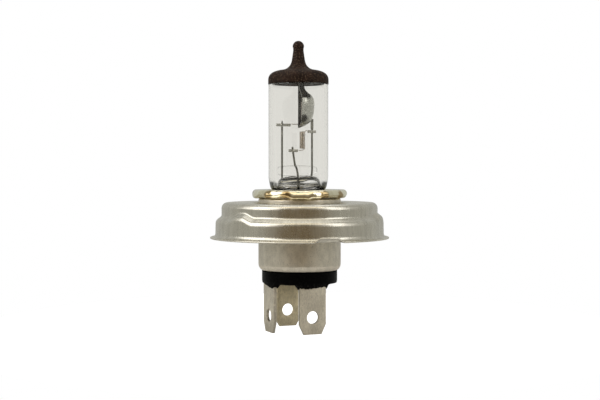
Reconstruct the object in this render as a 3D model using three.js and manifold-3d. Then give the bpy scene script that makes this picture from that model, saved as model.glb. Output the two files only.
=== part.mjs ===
// A 12 V double-filament halogen headlight bulb with three blades, in a two-step stamped cap.
// Millimetres, +Z towards the glass tip. The origin lies on the cap's axis, in the plane where
// the cap's lip seats. The blades stand square to X and Y; cap and burner are turned a little.
import * as THREE from "three";
import { mergeVertices } from "three/addons/utils/BufferGeometryUtils.js";
import Module from "manifold-3d";

const wasm = await Module();
wasm.setup();

const degrees = THREE.MathUtils.degToRad;
const at = (x, y) => new THREE.Vector2(x, y);
const place = (x, y, z) => new THREE.Vector3(x, y, z);

// Turns about the axis, against the blades, and how far the burner is set off the cap's axis.
const CAP_TURN = degrees(-4.6);
const BURNER_TURN = degrees(-8);
const BURNER_SHIFT = 0.35;
const ROUND = 32; // facets round the glass and the small rings
const CLEAR = 0.15; // gap between a piece and the hole it stands in

// Flange cup
const CUP_SHEET = 0.45;
const CUP_FACETS = 60;
const LIP_RADIUS = 23.88;
const LIP_TOP = 0;
const SKIRT_RADIUS = 22.4;
const SHELF_TOP = 5.2;
const CROWN_RADIUS = 20.8;
const CROWN_TOP = 9.15;
const CROWN_CORNER = 1.3;
const BOSS_RISE = 1.1;
const BOSS_AZIMUTHS = [57, 177, 297].map(degrees);
const BOSS_HALF_WIDTH = degrees(11);
const WAVE_RISE = 1.05;
const WAVE_HALF_WIDTH = degrees(10.5);
const LIP_FLAT = 0.55; // width of the lip's level rim

// Sleeve, collar ring and the black base
const SLEEVE_RADIUS = 11;
const SLEEVE_SHEET = 0.45;
const SLEEVE_TOP = 10.4;
const SLEEVE_BOTTOM = -8.65;
const CRIMP_HEIGHT = 1.6;
const COLLAR_RADIUS = 12.75;
const COLLAR_BORE = 8.3;
const COLLAR_SHEET = 0.5;
const COLLAR_TOP = 12.6;
const COLLAR_FOOT = 10.5;
const COLLAR_ROLL = 0.75;
const BASE_RADIUS = 10.05;
const BASE_TOP = -6.5;
const BASE_BOTTOM = -12;
const BASE_CORNER = 0.3;
const GROOVE_RADIUS = 9.55;
const COMPOUND = {
  radius: 9,
  top: BASE_BOTTOM - 0.15,
  middle: BASE_BOTTOM - 0.8,
  lowest: BASE_BOTTOM - 1.3,
};

// Blades
const BLADE_THICK = 0.8;
const BLADE_RADIUS = 8.5;
const BLADE_TIP = -25.15;
const BLADE_ROOT = BASE_BOTTOM - 0.2;
const SHANK_WIDTH = 4;
const SHANK_TOP = -5.2;
const HOLE_RADIUS = 1.65;
const HOLE_ABOVE_TIP = 4.45;

// Glass
const TUBE_RADIUS = 7.95;
const TUBE_WALL = 1;
const TUBE_FOOT = 10.6;
const DOME_START = 41.7;
const SHOULDER = { radius: 5, z: 44.15 }; // where the dome turns up into the drawn-off tip
const TIP_NECK = 1.27;
const TIP_BEAD = 1.42;
const TIP_TOP = 52;
const PAINT_EDGE = 40.6;
const PAINT_THICK = 0.1;
const PINCH_HALF_WIDTH = 7.2;
const PINCH_HALF_THICK = 2.2;
const PINCH_FOOT = -3;
const PINCH_TOP = 13;
const CLAMP = { sheet: 0.4, foot: -2, top: 4 };

// Mount inside the glass
const POST_RADIUS = 0.27;
const POST_X = { low: -4.45, high: 0, common: 3.8 };
const POST_FOOT = 4.4;
const FOIL = { width: 2.4, thick: 0.12, top: 4.1, foot: -0.9 };
const LEAD_RADIUS = 0.4;
const LEAD_TOP = -1.2;
const BRIDGE = { halfWidth: 5.4, radius: 1.35, depthShare: 0.75, x: -0.3, z: 17.6 };
const SHIELD_SHEET = 0.25;
const SHIELD_TOP = 41.3;
const SHIELD_X = -0.1;
const SHIELD_RIMS = [-90, 75].map(degrees); // the front rim, and the back rim cut 15 degrees lower
const STRAP = {
  sheet: 0.3, width: 1.4, foot: 28.6, bend: 29.3, top: 31.6,
  front: POST_X.common - 0.5, back: POST_X.common + 0.9,
};
const TAB = { depth: 1.2, height: 0.72 };
const LOW_TAB = { centre: place(-4.1, 0, 29.7), length: 3.7 };
const HIGH_UPPER_TAB = { centre: place(3.7, 0, 28), length: 2.2 };
const HIGH_LOWER_TAB = { centre: place(-1.45, 0, 22.9), length: 2.4 };
const LOW_FILAMENT = {
  x: 1.5, foot: 30.4, length: 5.5, radius: 0.6, turns: 11,
  footLeg: [place(-2.1, -0.2, 29.95), place(0, -0.2, 29.95)],
  topLeg: [place(1.6, 0.3, 36.5), place(1.6, 0.3, 38)],
};
const HIGH_FILAMENT = {
  x: 1.1, foot: 23.5, length: 4.5, radius: 0.69, turns: 10,
  footLeg: [place(-0.1, -0.2, 23), place(1.2, -0.2, 23.1)],
  topLeg: [place(1.9, -0.3, 28.3), place(2.45, -0.2, 28.2)],
};
const FILAMENT_RADIUS = 0.11;

// ---- Materials ---------------------------------------------------------------------------------

function finish(color, roughness, metalness, extra = {}) {
  return new THREE.MeshStandardMaterial({ color, roughness, metalness, ...extra });
}

const quartz = finish(0xd9d6ce, 0.05, 0, { transparent: true, opacity: 0.3 });
const darkPaint = finish(0x2d201a, 0.8, 0);
const polishedShield = finish(0xa09e92, 0.15, 1);
const leadMetal = finish(0x6e6b62, 0.35, 1);
const tungsten = finish(0x7d7468, 0.45, 1);
const foilMetal = finish(0x8a8a86, 0.4, 1);
const goldSteel = finish(0xc9ad74, 0.15, 1);
const satinSteel = finish(0x98938a, 0.38, 1);
const sleeveSteel = finish(0x9b9488, 0.42, 1);
const springSteel = finish(0x8f8f8c, 0.4, 1);
const blackPlastic = finish(0x060606, 0.45, 0);
const blackCompound = finish(0x0a0908, 0.8, 0);
const bladeMetal = finish(0xa79f8c, 0.35, 1);
const yellowBlade = finish(0xa8996f, 0.35, 1);

// ---- Shape helpers -----------------------------------------------------------------------------

// Turns an outline of (radius, height) points about Z. Its azimuth 0 is -Y, growing towards +X.
function lathe(outline, facets = ROUND) {
  return new THREE.LatheGeometry(outline, facets).rotateX(Math.PI / 2);
}

// Moves a line of points to its right by a distance. A point on the axis stays on it.
function offsetLine(line, distance) {
  return line.map((point, i) => {
    const before = line[Math.max(i - 1, 0)];
    const after = line[Math.min(i + 1, line.length - 1)];
    const along = after.clone().sub(before).normalize();
    const moved = at(point.x + along.y * distance, point.y - along.x * distance);
    return point.x === 0 ? moved.setX(0) : moved;
  });
}

// The closed section of bent sheet about its middle line, which is walked with the outside on
// its right.
function sheetSection(middle, thickness) {
  const outside = offsetLine(middle, thickness / 2);
  const inside = offsetLine(middle, -thickness / 2).reverse();
  return [...outside, ...inside, outside[0]];
}

// A rod of even section, with an even number of sides, along a list of places.
function rod(places, radius, sides = 8, steps = 2 * places.length) {
  const path = new THREE.CatmullRomCurve3(places, false, "centripetal");
  const section = new THREE.Shape().absarc(0, 0, radius, 0, 2 * Math.PI);
  return new THREE.ExtrudeGeometry(section, { extrudePath: path, steps, curveSegments: sides / 2 });
}

function box(sizeX, sizeY, bottom, top, x = 0, y = 0) {
  return new THREE.BoxGeometry(sizeX, sizeY, top - bottom).translate(x, y, (top + bottom) / 2);
}

function pin(radius, bottom, top, x = 0, y = 0, sides = 12) {
  return new THREE.CylinderGeometry(radius, radius, top - bottom, sides)
    .rotateX(Math.PI / 2)
    .translate(x, y, (top + bottom) / 2);
}

// A closed surface over a grid of rings: each row is a ring of places, and both ends are capped.
function closedRings(rows) {
  const around = rows[0].length;
  const places = rows.flat();
  const faces = [];
  for (let row = 0; row < rows.length - 1; row++) {
    for (let i = 0; i < around; i++) {
      const a = row * around + i;
      const b = row * around + ((i + 1) % around);
      faces.push(a, b, b + around, a, b + around, a + around);
    }
  }
  const last = (rows.length - 1) * around;
  const cap = THREE.ShapeUtils.triangulateShape(rows[0].map((p) => at(p.x, p.y)), []);
  cap.forEach(([a, b, c]) => faces.push(a, c, b, last + a, last + b, last + c));
  const geometry = new THREE.BufferGeometry().setFromPoints(places);
  geometry.setIndex(faces);
  geometry.computeVertexNormals();
  return geometry;
}

function solid(geometry) {
  const bare = geometry.clone();
  bare.deleteAttribute("normal");
  bare.deleteAttribute("uv");
  const merged = mergeVertices(bare, 1e-4);
  return new wasm.Manifold(
    new wasm.Mesh({
      numProp: 3,
      vertProperties: new Float32Array(merged.attributes.position.array),
      triVerts: new Uint32Array(merged.index.array),
    }),
  );
}

function geometryOf(body) {
  const mesh = body.getMesh();
  const geometry = new THREE.BufferGeometry();
  geometry.setAttribute("position", new THREE.BufferAttribute(mesh.vertProperties, 3));
  geometry.setIndex(new THREE.BufferAttribute(mesh.triVerts, 1));
  geometry.computeVertexNormals();
  return geometry;
}

function cut(geometry, tools) {
  const body = tools.reduce((left, tool) => left.subtract(solid(tool)), solid(geometry));
  return geometryOf(body);
}

function join(pieces) {
  const body = pieces.map(solid).reduce((whole, piece) => whole.add(piece));
  return geometryOf(body);
}

function named(name, geometry, material) {
  const mesh = new THREE.Mesh(geometry, material);
  mesh.name = name;
  return mesh;
}

// 1 at the middle of a stretch of azimuth, falling smoothly to 0 at its ends.
function crest(azimuth, middle, halfWidth) {
  const away = Math.abs(Math.atan2(Math.sin(azimuth - middle), Math.cos(azimuth - middle)));
  return 1 - THREE.MathUtils.smoothstep(away, 0.45 * halfWidth, halfWidth);
}

// ---- Cap ---------------------------------------------------------------------------------------

// The stamped cup: crown, shelf, skirt and lip, with three bosses and one wave in the lip.
function flangeCup() {
  const half = CUP_SHEET / 2;
  const crown = CROWN_RADIUS - half;
  const skirt = SKIRT_RADIUS - half;
  const crownTop = CROWN_TOP - half;
  const middle = new THREE.Path();
  middle.moveTo(LIP_RADIUS, LIP_TOP - half);
  middle.lineTo(LIP_RADIUS - LIP_FLAT, LIP_TOP - half);
  middle.quadraticCurveTo(skirt + 0.1, LIP_TOP + 0.5, skirt, LIP_TOP + 1.9);
  middle.lineTo(skirt, SHELF_TOP - 2.1);
  middle.quadraticCurveTo(skirt, SHELF_TOP - 1.1, skirt - 0.7, SHELF_TOP - 0.7);
  middle.lineTo(crown + 0.45, SHELF_TOP - 0.1);
  middle.quadraticCurveTo(crown, SHELF_TOP + 0.2, crown, SHELF_TOP + 0.8);
  middle.lineTo(crown, crownTop - CROWN_CORNER);
  middle.absarc(crown - CROWN_CORNER, crownTop - CROWN_CORNER, CROWN_CORNER, 0, Math.PI / 2);
  middle.lineTo(SLEEVE_RADIUS + CLEAR, crownTop);
  const geometry = lathe(sheetSection(middle.getPoints(2), CUP_SHEET), CUP_FACETS);
  const spots = geometry.attributes.position;
  for (let i = 0; i < spots.count; i++) {
    const x = spots.getX(i);
    const y = spots.getY(i);
    const z = spots.getZ(i);
    spots.setZ(i, z + cupRise(Math.atan2(x, -y), Math.hypot(x, y), z));
  }
  return geometry;
}

function cupRise(azimuth, radius, z) {
  const overShelf =
    THREE.MathUtils.smoothstep(z, SHELF_TOP - 3.4, SHELF_TOP - 1.8) *
    (1 - THREE.MathUtils.smoothstep(z, SHELF_TOP + 0.9, SHELF_TOP + 3));
  const overLip = THREE.MathUtils.smoothstep(radius, SKIRT_RADIUS + 0.2, LIP_RADIUS - 0.3);
  const bosses = BOSS_AZIMUTHS.map((middle) => crest(azimuth, middle, BOSS_HALF_WIDTH));
  const boss = radius > CROWN_RADIUS - 1 ? Math.max(...bosses) : 0;
  return BOSS_RISE * boss * overShelf + WAVE_RISE * crest(azimuth, 0, WAVE_HALF_WIDTH) * overLip;
}

// The round neck: crimped in at its foot, and turned in at its top to carry the collar.
function sleeve() {
  const middleRadius = SLEEVE_RADIUS - SLEEVE_SHEET / 2;
  const top = SLEEVE_TOP - SLEEVE_SHEET / 2;
  const foot = SLEEVE_BOTTOM + CRIMP_HEIGHT;
  const middle = new THREE.Path();
  middle.moveTo(BASE_RADIUS + 0.1, SLEEVE_BOTTOM);
  middle.quadraticCurveTo(middleRadius, SLEEVE_BOTTOM + 0.7, middleRadius, foot);
  middle.lineTo(middleRadius, top - 0.6);
  middle.quadraticCurveTo(middleRadius, top, middleRadius - 0.6, top);
  middle.lineTo(COLLAR_BORE + 0.5, top);
  return lathe(sheetSection(middle.getPoints(2), SLEEVE_SHEET));
}

// The polished ring that the burner is set in, with a rolled outer edge.
function collarRing() {
  const half = COLLAR_SHEET / 2;
  const foot = COLLAR_FOOT + half;
  const rollRadius = COLLAR_RADIUS - half - COLLAR_ROLL;
  const middle = new THREE.Path();
  middle.moveTo(SLEEVE_RADIUS - 0.1, foot);
  middle.lineTo(rollRadius, foot);
  middle.absarc(rollRadius, foot + COLLAR_ROLL, COLLAR_ROLL, degrees(-90), degrees(81));
  middle.lineTo(COLLAR_BORE + 0.4, COLLAR_TOP - half);
  middle.lineTo(COLLAR_BORE + half, COLLAR_TOP - half - 0.5);
  return lathe(sheetSection(middle.getPoints(2), COLLAR_SHEET));
}

const bladeSlot = (width, bottom, top) =>
  box(width + 2 * CLEAR, BLADE_THICK + 2 * CLEAR, bottom, top, 0, -BLADE_RADIUS);

function slotsFor(blades, widthOf, bottom, top) {
  return blades.map((blade) => bladeSlot(widthOf(blade), bottom, top).rotateZ(blade.turn));
}

function insulatorBase(blades) {
  const outline = [
    at(0, BASE_BOTTOM),
    at(BASE_RADIUS - BASE_CORNER, BASE_BOTTOM),
    at(BASE_RADIUS, BASE_BOTTOM + BASE_CORNER),
    at(BASE_RADIUS, SLEEVE_BOTTOM - BASE_CORNER),
    at(GROOVE_RADIUS, SLEEVE_BOTTOM - BASE_CORNER),
    at(GROOVE_RADIUS, SLEEVE_BOTTOM + CRIMP_HEIGHT),
    at(BASE_RADIUS, BASE_TOP),
    at(0, BASE_TOP),
  ];
  const slots = slotsFor(blades, () => SHANK_WIDTH, BASE_BOTTOM - 1, BASE_TOP + 1);
  return cut(lathe(outline), slots);
}

// The set black compound: a low mound that the blades come out of.
function pottingCompound(blades) {
  const { radius, top, middle, lowest } = COMPOUND;
  const outline = [
    at(0, middle),
    at(radius - 1.6, lowest),
    at(radius - 0.4, lowest + 0.1),
    at(radius, top),
    at(0, top),
  ];
  const slots = slotsFor(blades, (blade) => blade.width, BASE_BOTTOM - 2, BASE_BOTTOM + 1);
  return cut(lathe(outline), slots);
}

// ---- Blades ------------------------------------------------------------------------------------

const BLADES = [
  { name: "high_beam_terminal", turn: 0, width: 7.5, tip: BLADE_TIP, cornerX: 1.25, cornerZ: 2.6 },
  {
    name: "low_beam_terminal", turn: degrees(-90), width: 7.4, tip: BLADE_TIP,
    cornerX: 1.25, cornerZ: 2.6,
  },
  {
    name: "ground_terminal", turn: degrees(180), width: 6.3, tip: BLADE_TIP + 0.15,
    cornerX: 0.75, cornerZ: 1.2,
  },
];

// A flat blade with a chamfered tip, a hole, and a narrow shank through the base.
function blade({ width, tip, cornerX, cornerZ }) {
  const half = width / 2;
  const shank = SHANK_WIDTH / 2;
  const outline = new THREE.Shape([
    at(-half + cornerX, tip),
    at(half - cornerX, tip),
    at(half, tip + cornerZ),
    at(half, BLADE_ROOT),
    at(shank, BLADE_ROOT),
    at(shank, SHANK_TOP),
    at(-shank, SHANK_TOP),
    at(-shank, BLADE_ROOT),
    at(-half, BLADE_ROOT),
    at(-half, tip + cornerZ),
  ]);
  outline.holes.push(new THREE.Path().absarc(0, tip + HOLE_ABOVE_TIP, HOLE_RADIUS, 0, 2 * Math.PI));
  return new THREE.ExtrudeGeometry(outline, {
    depth: BLADE_THICK, bevelEnabled: false, curveSegments: 10,
  })
    .rotateX(Math.PI / 2)
    .translate(0, -BLADE_RADIUS + BLADE_THICK / 2, 0);
}

// ---- Glass -------------------------------------------------------------------------------------

// The outside of the dome and its drawn-off tip, from the tube up to the axis.
function domeLine(divisions) {
  const beadZ = TIP_TOP - TIP_BEAD;
  const line = new THREE.Path();
  line.moveTo(TUBE_RADIUS, DOME_START);
  line.quadraticCurveTo(TUBE_RADIUS, SHOULDER.z - 0.45, SHOULDER.radius, SHOULDER.z);
  line.quadraticCurveTo(2.2, SHOULDER.z + 0.25, 1.7, 46.7);
  line.quadraticCurveTo(1.5, 47.8, TIP_NECK, beadZ - 1);
  line.quadraticCurveTo(TIP_NECK, beadZ - 0.4, TIP_BEAD, beadZ);
  line.absarc(0, beadZ, TIP_BEAD, 0, Math.PI / 2);
  const points = line.getPoints(divisions);
  points[points.length - 1].setX(0);
  return points;
}

// The clear tube, open at its foot, where the pinch closes it.
function glassEnvelope() {
  const bore = TUBE_RADIUS - TUBE_WALL;
  const inside = new THREE.Path();
  inside.moveTo(0, SHOULDER.z - 0.95);
  inside.lineTo(SHOULDER.radius - 0.4, SHOULDER.z - 1.1);
  inside.quadraticCurveTo(bore, SHOULDER.z - 1.3, bore, DOME_START - 0.6);
  inside.lineTo(bore, 15);
  inside.lineTo(bore - 0.3, TUBE_FOOT);
  const foot = [
    at(TUBE_RADIUS - 0.45, TUBE_FOOT),
    at(TUBE_RADIUS - 0.35, 12.4),
    at(TUBE_RADIUS, 15.8),
  ];
  return lathe([...inside.getPoints(3), ...foot, ...domeLine(2)]);
}

// The dark paint over the dome, the tip and the top of the tube.
function tipPaint() {
  const line = [at(TUBE_RADIUS, PAINT_EDGE), ...domeLine(2)];
  const inside = offsetLine(line, 0.02).reverse();
  return lathe([...inside, ...offsetLine(line, 0.02 + PAINT_THICK)]);
}

// A ring of places on a rounded rectangle: power 2 is an ellipse, a higher one is squarer.
function roundedRing({ z, halfX, halfY, power }, sides) {
  const bend = (value) => Math.sign(value) * Math.abs(value) ** (2 / power);
  return Array.from({ length: sides }, (_, i) => {
    const angle = (2 * Math.PI * (i + 0.5)) / sides;
    return place(halfX * bend(Math.cos(angle)), halfY * bend(Math.sin(angle)), z);
  });
}

// The closed end of the tube: a round plug that runs down into the flat pinch, with a way through
// it for each post, foil and outer lead.
function pinchSeal() {
  const plug = TUBE_RADIUS - TUBE_WALL - 0.55;
  const round = TUBE_RADIUS - 0.55;
  const stations = [
    { z: PINCH_FOOT, halfX: PINCH_HALF_WIDTH, halfY: PINCH_HALF_THICK, power: 6 },
    { z: 4.6, halfX: PINCH_HALF_WIDTH, halfY: PINCH_HALF_THICK, power: 6 },
    { z: 6.6, halfX: PINCH_HALF_WIDTH, halfY: PINCH_HALF_THICK + 0.8, power: 4 },
    { z: 9.2, halfX: round, halfY: round - 0.8, power: 2 },
    { z: TUBE_FOOT - 0.25, halfX: round, halfY: round, power: 2 },
    { z: TUBE_FOOT - 0.2, halfX: plug, halfY: plug, power: 2 },
    { z: 12.4, halfX: plug, halfY: plug, power: 2 },
    { z: PINCH_TOP, halfX: plug - 1, halfY: plug - 1, power: 2 },
  ];
  const body = closedRings(stations.map((station) => roundedRing(station, 32)));
  const ways = Object.values(POST_X).flatMap((x) => [
    pin(POST_RADIUS + CLEAR, POST_FOOT - 0.5, PINCH_TOP + 1, x),
    box(FOIL.width + 2 * CLEAR, FOIL.thick + 2 * CLEAR, FOIL.foot - 0.2, POST_FOOT, x),
    pin(LEAD_RADIUS + CLEAR, PINCH_FOOT - 1, FOIL.foot, x),
  ]);
  return cut(body, ways);
}

// The stamped clamp that grips the pinch and centres it in the sleeve.
function pinchClamp() {
  const { sheet, foot, top } = CLAMP;
  const insideX = 2 * (PINCH_HALF_WIDTH + CLEAR);
  const insideY = 2 * (PINCH_HALF_THICK + CLEAR);
  const reach = SLEEVE_RADIUS - SLEEVE_SHEET - BURNER_SHIFT - CLEAR;
  const plate = pin(reach, top - sheet, top, 0, 0, ROUND);
  const grip = box(insideX + 2 * sheet, insideY + 2 * sheet, foot, top);
  return cut(join([grip, plate]), [box(insideX, insideY, foot - 1, top + 1)]);
}

// ---- Mount inside the glass --------------------------------------------------------------------

const POST_ROUTES = {
  low: [place(POST_X.low, 0, POST_FOOT), place(POST_X.low, 0, 18), place(POST_X.low, 0, 31.1)],
  high: [
    place(POST_X.high, 0, POST_FOOT),
    place(POST_X.high, 0, 14),
    place(-0.35, 0, 17.5),
    place(-0.9, 0, 19),
    place(-1.15, 0, 20.4),
    place(-1.7, 0, 24.2),
  ],
  common: [
    place(POST_X.common, 0, POST_FOOT),
    place(POST_X.common, 0, 18),
    place(POST_X.common, 0, 30.1),
  ],
};

function bridge() {
  const { halfWidth, radius, depthShare, x, z } = BRIDGE;
  const bar = pin(radius, -halfWidth, halfWidth, 0, 0, 16)
    .scale(1, depthShare, 1)
    .rotateY(Math.PI / 2)
    .translate(x, 0, z);
  const holes = Object.values(POST_ROUTES).map((route) => rod(route, POST_RADIUS + CLEAR));
  return cut(bar, holes);
}

// A weld tab: a short strip lying across a post, which passes through its middle.
function weldTab({ centre, length }, route) {
  const half = TAB.height / 2;
  const strip = box(length, TAB.depth, centre.z - half, centre.z + half, centre.x, centre.y);
  return cut(strip, [rod(route, POST_RADIUS + CLEAR)]);
}

// A coil about an upright line, with a straight leg from each end to its tab.
function filament({ x, foot, length, radius, turns, footLeg, topLeg }) {
  const perTurn = 8;
  const coil = Array.from({ length: turns * perTurn + 1 }, (_, i) => {
    const angle = (2 * Math.PI * i) / perTurn;
    const height = foot + (length * i) / (turns * perTurn);
    return place(x + radius * Math.cos(angle), radius * Math.sin(angle), height);
  });
  return rod([...footLeg, ...coil, ...topLeg], FILAMENT_RADIUS, 4, coil.length + 8);
}

// The dip shield's outside, from its lower lip up to its neck.
const SHIELD_STATIONS = [
  { z: 28.9, radius: 0.45 },
  { z: 29.6, radius: 1.9 },
  { z: 30.3, radius: 3 },
  { z: 31.3, radius: 3.75 },
  { z: 33, radius: 4.2 },
  { z: 35.2, radius: 4.36 },
  { z: 36.6, radius: 4.2 },
  { z: 37.6, radius: 3.6 },
  { z: 38.3, radius: 2.7 },
  { z: 39.4, radius: 1.8 },
  { z: SHIELD_TOP, radius: 1.6 },
];

// The dip shield: a spoon of thin sheet that is open towards -X.
function dipShield() {
  const [frontRim, backRim] = SHIELD_RIMS;
  const steps = 12;
  const arc = (radius, z) =>
    Array.from({ length: steps + 1 }, (_, i) => {
      const angle = frontRim + ((backRim - frontRim) * i) / steps;
      return place(radius * Math.cos(angle) + SHIELD_X, radius * Math.sin(angle), z);
    });
  const rows = SHIELD_STATIONS.map(({ z, radius }) => [
    ...arc(radius, z),
    ...arc(radius - SHIELD_SHEET, z).reverse(),
  ]);
  return closedRings(rows);
}

// The strap from the shield's back down to the common post.
function shieldStrap() {
  const { sheet, width, foot, bend, top, front, back } = STRAP;
  const riser = box(sheet, width, foot, top, back - sheet / 2);
  const grip = box(back - front, width, foot, bend, (back + front) / 2);
  return cut(join([riser, grip]), [rod(POST_ROUTES.common, POST_RADIUS + CLEAR)]);
}

// ---- Outer leads -------------------------------------------------------------------------------

// From a foil's foot down to the inner face of its blade's shank.
function outerLead(start, turn) {
  const reach = BLADE_RADIUS - BLADE_THICK / 2 - LEAD_RADIUS - CLEAR;
  const end = place(0, -reach, SHANK_TOP - 0.7).applyAxisAngle(place(0, 0, 1), turn);
  const below = start.clone().setZ(PINCH_FOOT - 0.5);
  const above = end.clone().setZ(SHANK_TOP + 0.6);
  return rod([start, below, above, end], LEAD_RADIUS, 8, 10);
}

// ---- The whole bulb ----------------------------------------------------------------------------

const burner = new THREE.Group();
burner.rotation.z = BURNER_TURN;
burner.position.set(-BURNER_SHIFT, 0, 0);
burner.updateMatrix();

burner.add(named("glass_envelope", glassEnvelope(), quartz));
burner.add(named("tip_paint", tipPaint(), darkPaint));
burner.add(named("pinch_seal", pinchSeal(), quartz));
burner.add(named("pinch_clamp", pinchClamp(), springSteel));
burner.add(named("quartz_bridge", bridge(), quartz));
burner.add(named("dip_shield", dipShield(), polishedShield));
burner.add(named("shield_strap", shieldStrap(), leadMetal));
for (const [circuit, route] of Object.entries(POST_ROUTES)) {
  const foil = box(FOIL.width, FOIL.thick, FOIL.foot, FOIL.top, POST_X[circuit]);
  burner.add(named(circuit + "_post", rod(route, POST_RADIUS), leadMetal));
  burner.add(named(circuit + "_foil", foil, foilMetal));
}

burner.add(named("low_tab", weldTab(LOW_TAB, POST_ROUTES.low), leadMetal));
burner.add(named("high_upper_tab", weldTab(HIGH_UPPER_TAB, POST_ROUTES.common), leadMetal));
burner.add(named("high_lower_tab", weldTab(HIGH_LOWER_TAB, POST_ROUTES.high), leadMetal));
burner.add(named("low_beam_filament", filament(LOW_FILAMENT), tungsten));
burner.add(named("high_beam_filament", filament(HIGH_FILAMENT), tungsten));

const cap = new THREE.Group();
cap.rotation.z = CAP_TURN;
cap.add(named("flange_cup", flangeCup(), satinSteel));
cap.add(named("sleeve", sleeve(), sleeveSteel));
cap.add(named("collar_ring", collarRing(), goldSteel));

const bulb = new THREE.Group();
bulb.add(burner, cap);
bulb.add(named("insulator_base", insulatorBase(BLADES), blackPlastic));
bulb.add(named("potting_compound", pottingCompound(BLADES), blackCompound));
for (const each of BLADES) {
  const metal = each.name === "ground_terminal" ? yellowBlade : bladeMetal;
  bulb.add(named(each.name, blade(each).rotateZ(each.turn), metal));
}

const LEAD_RUNS = { high: BLADES[0], low: BLADES[1], common: BLADES[2] };
for (const [circuit, run] of Object.entries(LEAD_RUNS)) {
  const start = place(POST_X[circuit], 0, LEAD_TOP).applyMatrix4(burner.matrix);
  bulb.add(named(circuit + "_outer_lead", outerLead(start, run.turn), leadMetal));
}

export default bulb;
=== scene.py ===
"""A 12 V double-filament halogen headlight bulb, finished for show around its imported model.

The file is laid out as an add-on: sizes and colours are properties, each piece or group of like
pieces is an operator, and a sidebar panel lists them. Everything is in metres in the model's own
frame: +Z up the bulb towards the glass tip, -Y towards the high beam blade.
"""

import math

import bmesh
import bpy
from bpy.props import FloatProperty, FloatVectorProperty, IntProperty, PointerProperty
from mathutils import Matrix, Vector, noise


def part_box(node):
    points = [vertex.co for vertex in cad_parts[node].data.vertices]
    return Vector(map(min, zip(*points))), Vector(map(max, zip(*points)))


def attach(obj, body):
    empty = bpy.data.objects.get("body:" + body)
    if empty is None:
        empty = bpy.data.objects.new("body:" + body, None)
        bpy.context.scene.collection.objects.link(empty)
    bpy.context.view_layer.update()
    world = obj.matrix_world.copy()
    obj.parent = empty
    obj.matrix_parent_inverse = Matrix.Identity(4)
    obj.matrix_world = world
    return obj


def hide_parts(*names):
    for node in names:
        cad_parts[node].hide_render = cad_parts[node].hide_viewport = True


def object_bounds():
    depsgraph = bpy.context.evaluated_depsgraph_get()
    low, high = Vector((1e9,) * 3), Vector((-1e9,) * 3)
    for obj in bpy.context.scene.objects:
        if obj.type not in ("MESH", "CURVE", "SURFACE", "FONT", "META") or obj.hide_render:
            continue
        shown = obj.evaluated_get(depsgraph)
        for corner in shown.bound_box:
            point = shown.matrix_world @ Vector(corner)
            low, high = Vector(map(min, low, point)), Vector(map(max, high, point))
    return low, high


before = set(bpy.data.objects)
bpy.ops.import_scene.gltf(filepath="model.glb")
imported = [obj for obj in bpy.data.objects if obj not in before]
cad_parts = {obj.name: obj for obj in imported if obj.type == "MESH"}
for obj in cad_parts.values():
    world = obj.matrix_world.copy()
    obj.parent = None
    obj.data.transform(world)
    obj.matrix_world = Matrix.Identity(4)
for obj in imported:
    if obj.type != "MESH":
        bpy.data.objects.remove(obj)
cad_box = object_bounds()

bl_info = {
    "name": "Double-filament headlight bulb",
    "version": (1, 0, 0),
    "blender": (4, 5, 0),
    "location": "3D View > Sidebar > Bulb",
    "description": "Builds the visible pieces of a headlight bulb around its packed model",
    "category": "Object",
}

MM = 0.001
BODY = "root"

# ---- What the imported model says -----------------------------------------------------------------


def centre_of(node):
    """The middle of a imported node's box."""
    low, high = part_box(node)
    return (low + high) / 2


def radius_of(node):
    """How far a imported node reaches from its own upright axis."""
    middle = centre_of(node).xy
    return max((v.co.xy - middle).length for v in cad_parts[node].data.vertices)


def foot_of(node):
    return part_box(node)[0].z


def top_of(node):
    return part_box(node)[1].z


CAP_AXIS = centre_of("sleeve").xy
BURNER_AXIS = centre_of("glass_envelope").xy
POSTS_APART = centre_of("common_foil") - centre_of("low_foil")
BURNER_TURN = math.atan2(POSTS_APART.y, POSTS_APART.x)


# ---- Properties ---------------------------------------------------------------------------------


def length(name, description, millimetres):
    """A length property whose default is given in millimetres."""
    return FloatProperty(
        name=name, description=description, default=millimetres * MM, min=0,
        unit="LENGTH", precision=5,
    )


def colour(name, description, red, green, blue):
    """A colour property with a linear default."""
    return FloatVectorProperty(
        name=name, description=description, default=(red, green, blue), size=3,
        min=0, max=1, subtype="COLOR",
    )


class BulbSizes(bpy.types.PropertyGroup):
    """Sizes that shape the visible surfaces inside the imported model's boxes."""

    cup_sheet: length("Cup sheet", "Thickness of the stamped cup", 0.45)
    skirt_radius: length("Skirt radius", "Outside of the cup's lower step", 22.4)
    crown_radius: length("Crown radius", "Outside of the cup's upper step", 20.8)
    crown_corner: length("Crown corner", "Middle radius of the crown's rounded corner", 1.3)
    shelf_height: length("Shelf height", "Height of the shelf between the two steps", 5.2)
    boss_rise: length("Boss rise", "How far the three bosses lift the shelf", 1.1)
    wave_rise: length("Wave rise", "How far the wave lifts the lip", 1.05)
    cap_turn: FloatProperty(
        name="Cap turn", description="Turn of the cup against the blades",
        default=math.radians(-4.6), subtype="ANGLE",
    )
    sleeve_sheet: length("Sleeve sheet", "Thickness of the neck", 0.45)
    collar_sheet: length("Collar sheet", "Thickness of the collar", 0.5)
    tube_wall: length("Tube wall", "Wall of the quartz tube", 1.0)
    dome_start: length("Dome start", "Height where the tube turns in to its dome", 41.7)
    paint_sheet: length("Paint", "Thickness of the paint on the dome", 0.1)
    blade_edge: length("Blade edge", "Rounding of the blades' edges", 0.1)
    shield_sheet: length("Shield sheet", "Thickness of the dip shield", 0.25)
    post_radius: length("Post radius", "Radius of the lead posts", 0.27)
    facets: IntProperty(
        name="Facets", description="Facets round the turned pieces", default=192, min=24
    )


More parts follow.
